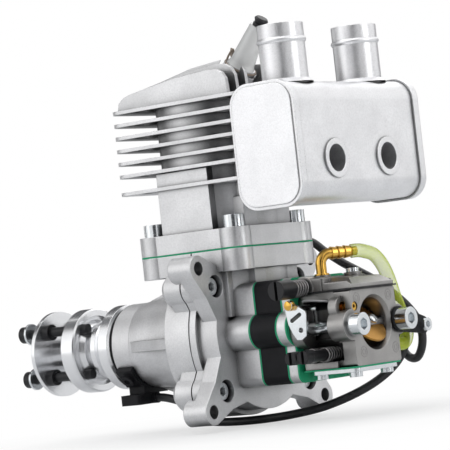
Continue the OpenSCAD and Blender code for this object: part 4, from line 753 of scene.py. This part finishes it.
# Steps between two points of a route
LEAD_STEPS = 6
TUBE_STEPS = 8
WIRE_STEPS = 6
# Places across and up of the round marks on the carburettor's rear face, in millimetres
FACE_MARKS = [(10.9, 10.0), (-10.6, 10.1), (9.8, -10.8), (-11.9, -10.7)]
# Radii of each mark's two rings and radius of their line, in millimetres
MARK_RADII = (2.0, 1.0)
MARK_LINE = 0.09
# Foot of the lever's pin: forward of the shaft, under the lever's face, above the shaft, in millimetres
PIN_FOOT = (1.4, 2.0, 9.8)
# Place of the choke plate's screw along its shaft, in millimetres
PLATE_SCREW_ACROSS = -2.9
# Lean of the plug towards the rear
PLUG_LEAN = math.radians(37)
# Rise of the choke plate's normal at rest
PLATE_LEAN = math.radians(40)
# Foot of the plug, and the clip's radius and height on its collar, in millimetres
PLUG_SEAT = (4, 0, 97)
COLLAR_RADIUS = 6.5
COLLAR_RISE = 12
# Half of the gap in the clip's ring
CLIP_GAP = math.radians(16)
# The two faces of the clip's flat tag along Y, in millimetres
TAG_FACES = (-3.0, -3.5)
# Radius in millimetres and sides of the return spring's and the clip's wire
WIRE_RADIUS = 0.42
WIRE_SIDES = 12


class ENGINE_OT_stage(bpy.types.Operator):
    """Set the camera, white surroundings, floor, lamps and dark cards"""

    bl_idname = "engine.stage"
    bl_label = "Set the Stage"

    def execute(self, context):
        stage = context.scene.engine_stage
        set_camera(context.scene, stage)
        set_world(context.scene)
        set_floor(stage)
        set_lamps(context.scene, stage)
        set_flags()
        return {"FINISHED"}


# Camera: turn, height and roll in degrees, target in metres, and aim off the target to the right and up
CAMERA_TURN = (51.96, -0.98, -6.33)
CAMERA_TARGET = (0.020, 0.0, 0.030)
CAMERA_AIM = (0.003356, 0.014508)
# Width of the camera's sensor, in millimetres
SENSOR_WIDTH = 36


def set_camera(scene, stage):
    """The camera that fits the reference view, rolled and aimed a little off its target."""
    azimuth, elevation, roll = (math.radians(turn) for turn in CAMERA_TURN)
    back = Vector(
        (
            -math.cos(azimuth) * math.cos(elevation),
            math.sin(azimuth) * math.cos(elevation),
            math.sin(elevation),
        )
    )
    level = Vector((-math.sin(azimuth), -math.cos(azimuth), 0))
    upright = back.cross(level)
    right = math.cos(roll) * level + math.sin(roll) * upright
    up = -math.sin(roll) * level + math.cos(roll) * upright
    forward = (-back + CAMERA_AIM[0] * right + CAMERA_AIM[1] * up).normalized()
    right = forward.cross(up).normalized()
    up = right.cross(forward)
    camera = bpy.data.objects.new("camera", bpy.data.cameras.new("camera"))
    scene.collection.objects.link(camera)
    camera.data.sensor_width = SENSOR_WIDTH
    camera.data.lens = stage.focal
    camera.data.clip_start = 0.05
    camera.data.clip_end = 20
    turn = Matrix((right, up, -forward)).transposed()
    place = Vector(CAMERA_TARGET) + back * stage.distance
    camera.matrix_world = Matrix.Translation(place) @ turn.to_4x4()
    scene.camera = camera


# Colour and strength of the soft light, and of the white that the camera and gloss see
SOFT_LIGHT = ((0.93, 0.96, 1.0, 1), 0.38)
WHITE_LIGHT = ((1, 1, 1, 1), 1.0)


def set_world(scene):
    """White to the camera, to gloss and through glass, and a plain soft light for the rest."""
    world = bpy.data.worlds.new("studio")
    scene.world = world
    world.use_nodes = True
    tree = world.node_tree
    tree.nodes.clear()
    path = tree.nodes.new("ShaderNodeLightPath")
    seen = path.outputs["Is Camera Ray"]
    for kind in ("Is Glossy Ray", "Is Transmission Ray"):
        either = tree.nodes.new("ShaderNodeMath")
        either.operation = "MAXIMUM"
        tree.links.new(seen, either.inputs[0])
        tree.links.new(path.outputs[kind], either.inputs[1])
        seen = either.outputs[0]
    both = tree.nodes.new("ShaderNodeMixShader")
    tree.links.new(seen, both.inputs[0])
    for slot, (tint, strength) in ((1, SOFT_LIGHT), (2, WHITE_LIGHT)):
        glow = tree.nodes.new("ShaderNodeBackground")
        glow.inputs["Color"].default_value = tint
        glow.inputs["Strength"].default_value = strength
        tree.links.new(glow.outputs[0], both.inputs[slot])
    end = tree.nodes.new("ShaderNodeOutputWorld")
    tree.links.new(both.outputs[0], end.inputs[0])


# Radius of the floor and its gap to the part, in metres
FLOOR_RADIUS = 3.0
FLOOR_GAP = 0.0003
# Where the floor turns white: distance from the middle in metres, and share of white
FLOOR_FADE = ((0.0, 0.56), (0.06, 0.64), (0.12, 0.93), (0.20, 1.0))


def set_floor(stage):
    """A pale round floor that fades into the white background."""
    low = CAD_LOW.z - FLOOR_GAP

    def draw(shape):
        bmesh.ops.create_circle(shape, cap_ends=True, segments=64, radius=FLOOR_RADIUS)
        bmesh.ops.translate(shape, verts=shape.verts, vec=(0, 0, low))

    shade = Shade("pale_floor")
    reach = shade.node("VectorMath", {"operation": "LENGTH"}, [shade.place()], out=1)
    fade = shade.ramp(reach, *FLOOR_FADE)
    grain = shade.noise(0.05, 2.0)
    tone = shade.mix(grain, rgba(stage.floor, 0.99), rgba(stage.floor, 1.0))
    shade.finish(Base_Color=tone, Roughness=0.55)
    glow = shade.tree.nodes.new("ShaderNodeEmission")
    glow.inputs["Color"].default_value = (1, 1, 1, 1)
    blend = shade.tree.nodes.new("ShaderNodeMixShader")
    path = shade.node("LightPath")
    shade.tree.links.new((fade * path).socket, blend.inputs[0])
    shade.tree.links.new(shade.principled.outputs[0], blend.inputs[1])
    shade.tree.links.new(glow.outputs[0], blend.inputs[2])
    shade.tree.links.new(blend.outputs[0], shade.output.inputs[0])
    floor = mesh_piece("floor", draw, shade.material)


# The lamps: name, the setting that gives the power and its share, width and height, place, in metres
LAMPS = (
    ("top_lamp", "key", 1.0, (0.8, 0.8), (0.15, 0.1, 1.0)),
    ("left_lamp", "fill", 1.0, (0.5, 0.9), (0.55, 0.85, 0.45)),
    ("right_lamp", "fill", 2.2, (0.35, 0.8), (-0.95, -0.15, 0.40)),
    ("rear_lamp", "rim", 1.0, (0.8, 0.6), (0.35, -0.75, 0.65)),
)
LAMP_TARGET = (0.01, 0, 0.04)


def set_lamps(scene, stage):
    """Large soft lamps: one above, one at each side of the camera, one behind."""
    for name, setting, share, size, place in LAMPS:
        data = bpy.data.lights.new(name, "AREA")
        data.shape = "RECTANGLE"
        data.size, data.size_y = size
        data.energy = getattr(stage, setting) * share
        made = bpy.data.objects.new(name, data)
        scene.collection.objects.link(made)
        place = Vector(place)
        turn = (place - Vector(LAMP_TARGET)).to_track_quat("Z", "Y")
        made.matrix_world = Matrix.Translation(place) @ turn.to_matrix().to_4x4()


# Dark cards round the engine: from and to angle about Z in degrees, lowest and highest edge in metres
FLAGS = (
    (106, 142, -0.03, 0.62),
    (156, 172, -0.03, 0.50),
    (198, 214, -0.03, 0.26),
    (256, 276, -0.03, 0.40),
    (296, 344, -0.03, 0.95),
    (350, 384, 0.36, 1.20),
    (4, 18, -0.03, 0.36),
)
FLAG_DISTANCE = 0.85
# Degrees that one facet of a card turns by
FLAG_STEP = 6


def set_flags():
    """Dark cards that only reflections see, which draw the dark bands on bright metal."""
    shade = Shade("flag_card")
    weave = shade.noise(0.02, 2.0)
    shade.finish(
        Base_Color=shade.mix(weave, (0.03, 0.03, 0.033, 1), (0.05, 0.05, 0.055, 1)), Roughness=0.9
    )

    def draw(shape):
        for start, stop, low, high in FLAGS:
            steps = max(2, round((stop - start) / FLAG_STEP))
            columns = []
            for k in range(steps + 1):
                turn = math.radians(start + (stop - start) * k / steps)
                foot = Vector((math.cos(turn), math.sin(turn), 0)) * FLAG_DISTANCE
                columns.append([shape.verts.new(foot + Vector((0, 0, z))) for z in (low, high)])
            for (a, b), (c, d) in zip(columns, columns[1:]):
                shape.faces.new((a, c, d, b))

    cards = mesh_piece("flags", draw, shade.material)
    cards.visible_camera = False
    cards.visible_diffuse = False
    cards.visible_shadow = False
    cards.visible_transmission = False


class ENGINE_OT_finishes(bpy.types.Operator):
    """Make the materials and give each CAD node its own"""

    bl_idname = "engine.finishes"
    bl_label = "Give the Finishes"

    def execute(self, context):
        build_materials(context.scene.engine_finish)
        for name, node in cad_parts.items():
            look = MATERIALS[NODE_LOOK[name]]
            if node.data.materials:
                for index in range(len(node.data.materials)):
                    node.data.materials[index] = look
            else:
                node.data.materials.append(look)
        return {"FINISHED"}


class ENGINE_OT_lead(bpy.types.Operator):
    """Lay the pickup lead along its route"""

    bl_idname = "engine.lead"
    bl_label = "Lay the Lead"

    def execute(self, context):
        route = [place * MM for place in smooth_route(LEAD_POINTS, LEAD_STEPS)]
        lead = cord_curve("pickup_lead_sleeve", route, LEAD_DIAMETER / 2, MATERIALS["rubber"])
        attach(lead, ROOT)
        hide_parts("pickup_lead")
        round(route_length(route), 4)
        return {"FINISHED"}


# Length of the idle screw's spring, in metres
IDLE_SPRING = 0.0089


def spring_plan():
    """Coil spring: a spiral swept by a round wire, along Z."""
    plan = Plan(
        "screw_spring",
        [
            ("Turns", "Float", 5.0),
            ("Radius", "Float", 0.002),
            ("Length", "Float", 0.007),
            ("Wire", "Float", 0.0004),
            ("Material", "Material", None),
        ],
    )
    coil = plan.node(
        "CurveSpiral",
        Resolution=28,
        Rotations=plan.value("Turns"),
        Start_Radius=plan.value("Radius"),
        End_Radius=plan.value("Radius"),
        Height=plan.value("Length"),
    )
    wire = plan.node("CurvePrimitiveCircle", Resolution=10, Radius=plan.value("Wire"))
    body = plan.node("CurveToMesh", Curve=coil, Profile_Curve=wire, Fill_Caps=True)
    plan.close(body, plan.value("Material"))
    return plan


class ENGINE_OT_springs(bpy.types.Operator):
    """Wind the springs under the three adjusting screws"""

    bl_idname = "engine.springs"
    bl_label = "Wind the Screw Springs"

    def execute(self, context):
        wires = context.scene.engine_wires
        plan = spring_plan()
        lie = Matrix.Rotation(-math.pi / 2, 4, "X")
        low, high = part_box("carburettor_springs")
        coils = []
        needle_end = low.y + wires.needle_reach
        needle = (low.y, needle_end, wires.needle_radius, wires.needle_wire, wires.needle_turns)
        idle = (high.y - IDLE_SPRING, high.y, wires.idle_radius, wires.idle_wire, wires.idle_turns)
        for node, (start, end, radius, wire, count) in (
            ("high_speed_needle", needle),
            ("low_speed_needle", needle),
            ("idle_screw", idle),
        ):
            centre = middle(node)
            values = {
                "Turns": float(count),
                "Radius": radius,
                "Length": end - start - wire,
                "Wire": wire / 2,
                "Material": MATERIALS["spring"],
            }
            place = Matrix.Translation((centre.x, start + wire / 2, centre.z)) @ lie
            coils.append(grow("spring_" + node, plan, values, place))
        made = join("screw_springs", coils)
        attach(made, ROOT)
        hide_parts("carburettor_springs")
        return {"FINISHED"}


def ring_plan():
    """A thin round ring, for the stamped marks."""
    plan = Plan(
        "thin_ring",
        [("Radius", "Float", 0.002), ("Wire", "Float", 0.0001), ("Material", "Material", None)],
    )
    circle = plan.node("CurvePrimitiveCircle", Resolution=40, Radius=plan.value("Radius"))
    wire = plan.node("CurvePrimitiveCircle", Resolution=8, Radius=plan.value("Wire"))
    body = plan.node("CurveToMesh", Curve=circle, Profile_Curve=wire)
    plan.close(body, plan.value("Material"))
    return plan


class ENGINE_OT_fuel_tube(bpy.types.Operator):
    """Draw the clear fuel tube from the elbow to the inlet nipple"""

    bl_idname = "engine.fuel_tube"
    bl_label = "Draw the Fuel Tube"

    def execute(self, context):
        route = [place * MM for place in smooth_route(TUBE_POINTS, TUBE_STEPS)]

        def draw(shape):
            add_tube(shape, route, TUBE_RADIUS * MM, sides=24)

        made = mesh_piece("clear_tube", draw, MATERIALS["tube"])
        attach(made, ROOT)
        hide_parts("fuel_tube")
        return {"FINISHED"}


class ENGINE_OT_trim(bpy.types.Operator):
    """Add the small pins, screws, marks and wires of the carburettor and the plug"""

    bl_idname = "engine.trim"
    bl_label = "Add the Small Trim"

    def execute(self, context):
        self.lever_pin()
        self.plate_screw()
        self.face_marks()
        self.return_wire()
        self.plug_clip()
        return {"FINISHED"}

    def lever_pin(self):
        """Brass cable pin of the throttle lever, with a turned face."""
        shaft = middle("throttle_shaft")
        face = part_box("throttle_lever")[1].y
        forward, under, above = (n * MM for n in PIN_FOOT)
        base = (shaft.x + forward, face - under, shaft.z + above)
        profile = [(2.04, 0.02), (2.04, 1.7), (1.98, 1.92), (1.8, 2.04), (0, 2.04)]

        def draw(shape):
            add_lathe(shape, [(r * MM, h * MM) for r, h in profile], base, (0, 1, 0), sides=40)

        made = mesh_piece("lever_pin", draw, MATERIALS["brass"])
        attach(made, "throttle")

    def plate_screw(self):
        """Slotted screw that holds the choke plate to its shaft."""
        shaft = middle("choke_shaft")
        spot = Vector((shaft.x, PLATE_SCREW_ACROSS * MM, shaft.z))
        normal = Vector((-math.cos(PLATE_LEAN), 0, math.sin(PLATE_LEAN)))
        seat, radius, height, slot_floor, slot_half = (n * MM for n in (1.9, 2.3, 1.5, 0.8, 0.38))
        foot = [(0, 0), (radius, 0), (radius, slot_floor), (0, slot_floor)]
        dome = [(0, slot_floor), (radius, slot_floor)] + dome_profile(radius, height)

        def draw(shape):
            add_lathe(shape, [(r, seat + h) for r, h in foot], spot, normal)
            for side in (-1, 1):
                half = bmesh.new()
                add_lathe(half, [(r, seat + h) for r, h in dome], spot, normal)
                cut = bmesh.ops.bisect_plane(
                    half,
                    geom=[*half.verts, *half.edges, *half.faces],
                    plane_co=spot + Vector((0, side * slot_half, 0)),
                    plane_no=(0, -side, 0),
                    clear_outer=True,
                )
                edges = [part for part in cut["geom_cut"] if isinstance(part, bmesh.types.BMEdge)]
                bmesh.ops.holes_fill(half, edges=edges)
                scratch = bpy.data.meshes.new("half_head")
                half.to_mesh(scratch)
                half.free()
                shape.from_mesh(scratch)
                bpy.data.meshes.remove(scratch)

        made = mesh_piece("plate_screw", draw, MATERIALS["zinc"])
        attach(made, "choke")

    def face_marks(self):
        """Round ejector marks on the carburettor's rear face."""
        plan = ring_plan()
        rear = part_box("carburettor_body")[0].x
        turn = Matrix.Rotation(math.pi / 2, 4, "Y")
        rings = []
        for index, (y, z) in enumerate(FACE_MARKS):
            for radius in MARK_RADII:
                values = {
                    "Radius": radius * MM,
                    "Wire": MARK_LINE * MM,
                    "Material": MATERIALS["carburettor"],
                }
                place = Matrix.Translation((rear, y * MM, z * MM)) @ turn
                rings.append(grow(f"mark_{index}_{radius:.0f}", plan, values, place))
        made = join("face_marks", rings)
        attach(made, ROOT)

    def return_wire(self):
        """Leg of the throttle's return spring, hooked into the body."""
        shaft = middle("throttle_shaft")
        # From the shaft forward, from the middle plane across, from the shaft up, in millimetres
        legs = [
            (-2.2, 21.9, 10.6), (-2.6, 21.6, 11.0), (-3.4, 21.0, 11.0), (-6.0, 18.8, 10.7),
            (-9.2, 15.4, 9.9), (-11.2, 13.4, 9.2), (-12.0, 12.9, 8.6), (-12.2, 12.7, 7.2),
        ]
        route = smooth_route([(shaft.x / MM + x, y, shaft.z / MM + z) for x, y, z in legs], WIRE_STEPS)

        def draw(shape):
            add_tube(shape, [place * MM for place in route], WIRE_RADIUS * MM, WIRE_SIDES)

        made = mesh_piece("return_wire", draw, MATERIALS["steel"])
        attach(made, ROOT)

    def plug_clip(self):
        """Spring clip round the plug's collar, with its bent loop and flat tag."""
        lean = (math.sin(PLUG_LEAN), math.cos(PLUG_LEAN))
        out, up = Vector((lean[1], 0, lean[0])), Vector((-lean[0], 0, lean[1]))

        def spot(forward, across, rise):
            return MM * (Vector(PLUG_SEAT) + forward * out + Vector((0, across, 0)) + rise * up)

        ring = []
        steps = 40
        for step in range(steps + 1):
            turn = CLIP_GAP + 2 * (math.pi - CLIP_GAP) * step / steps
            ring.append(spot(COLLAR_RADIUS * math.cos(turn), COLLAR_RADIUS * math.sin(turn), COLLAR_RISE))
        forward, across = COLLAR_RADIUS * math.cos(CLIP_GAP), COLLAR_RADIUS * math.sin(CLIP_GAP)
        # One half of the loop: forward of the ring's end, across, up from the ring
        half = [(0, across, 0), (0.4, 1.3, 1.8), (0.5, 0.5, 4.2)]
        bends = half + [(x, -y, z) for x, y, z in reversed(half)]
        loop = smooth_route([spot(forward + x, y, COLLAR_RISE + z) for x, y, z in bends], WIRE_STEPS)
        # Outline of the tag: forward of the plug's axis and up along it
        tag = [(5.8, 11.7), (7.6, 11.6), (9.4, 13.0), (10.2, 15.4), (9.6, 15.6), (8.0, 14.2), (6.6, 13.2)]

        def draw(shape):
            add_tube(shape, ring, WIRE_RADIUS * MM, WIRE_SIDES)
            add_tube(shape, loop, WIRE_RADIUS * MM, WIRE_SIDES)
            sides = [[shape.verts.new(spot(f, y, r)) for f, r in tag] for y in TAG_FACES]
            shape.faces.new(sides[0])
            shape.faces.new(sides[1][::-1])
            for k in range(len(tag)):
                n = (k + 1) % len(tag)
                shape.faces.new((sides[0][k], sides[0][n], sides[1][n], sides[1][k]))

        made = mesh_piece("plug_clip", draw, MATERIALS["tarnished"])
        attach(made, ROOT)


class VIEW3D_PT_engine(bpy.types.Panel):
    """Lists the engine's steps and settings"""

    bl_label = "Engine"
    bl_space_type = "VIEW_3D"
    bl_region_type = "UI"
    bl_category = "Engine"

    def draw(self, context):
        layout = self.layout
        for operator in STEPS:
            layout.operator(operator.bl_idname)
        for group in (context.scene.engine_finish, context.scene.engine_wires, context.scene.engine_stage):
            for name in group.bl_rna.properties.keys():
                if name not in {"rna_type", "name"}:
                    layout.prop(group, name)


STEPS = (
    ENGINE_OT_stage,
    ENGINE_OT_finishes,
    ENGINE_OT_lead,
    ENGINE_OT_fuel_tube,
    ENGINE_OT_springs,
    ENGINE_OT_trim,
)
GROUPS = (EngineFinishSettings, EngineWireSettings, EngineStageSettings)


def register():
    for made in (*GROUPS, *STEPS, VIEW3D_PT_engine):
        bpy.utils.register_class(made)
    bpy.types.Scene.engine_finish = PointerProperty(type=EngineFinishSettings)
    bpy.types.Scene.engine_wires = PointerProperty(type=EngineWireSettings)
    bpy.types.Scene.engine_stage = PointerProperty(type=EngineStageSettings)


def unregister():
    del bpy.types.Scene.engine_stage
    del bpy.types.Scene.engine_wires
    del bpy.types.Scene.engine_finish
    for made in reversed((*GROUPS, *STEPS, VIEW3D_PT_engine)):
        bpy.utils.unregister_class(made)


def main():
    register()
    bpy.context.scene.view_settings.view_transform = "Standard"
    bpy.ops.engine.stage()
    bpy.ops.engine.finishes()
    bpy.ops.engine.lead()
    bpy.ops.engine.fuel_tube()
    bpy.ops.engine.springs()
    bpy.ops.engine.trim()


if __name__ == "__main__":
    main()
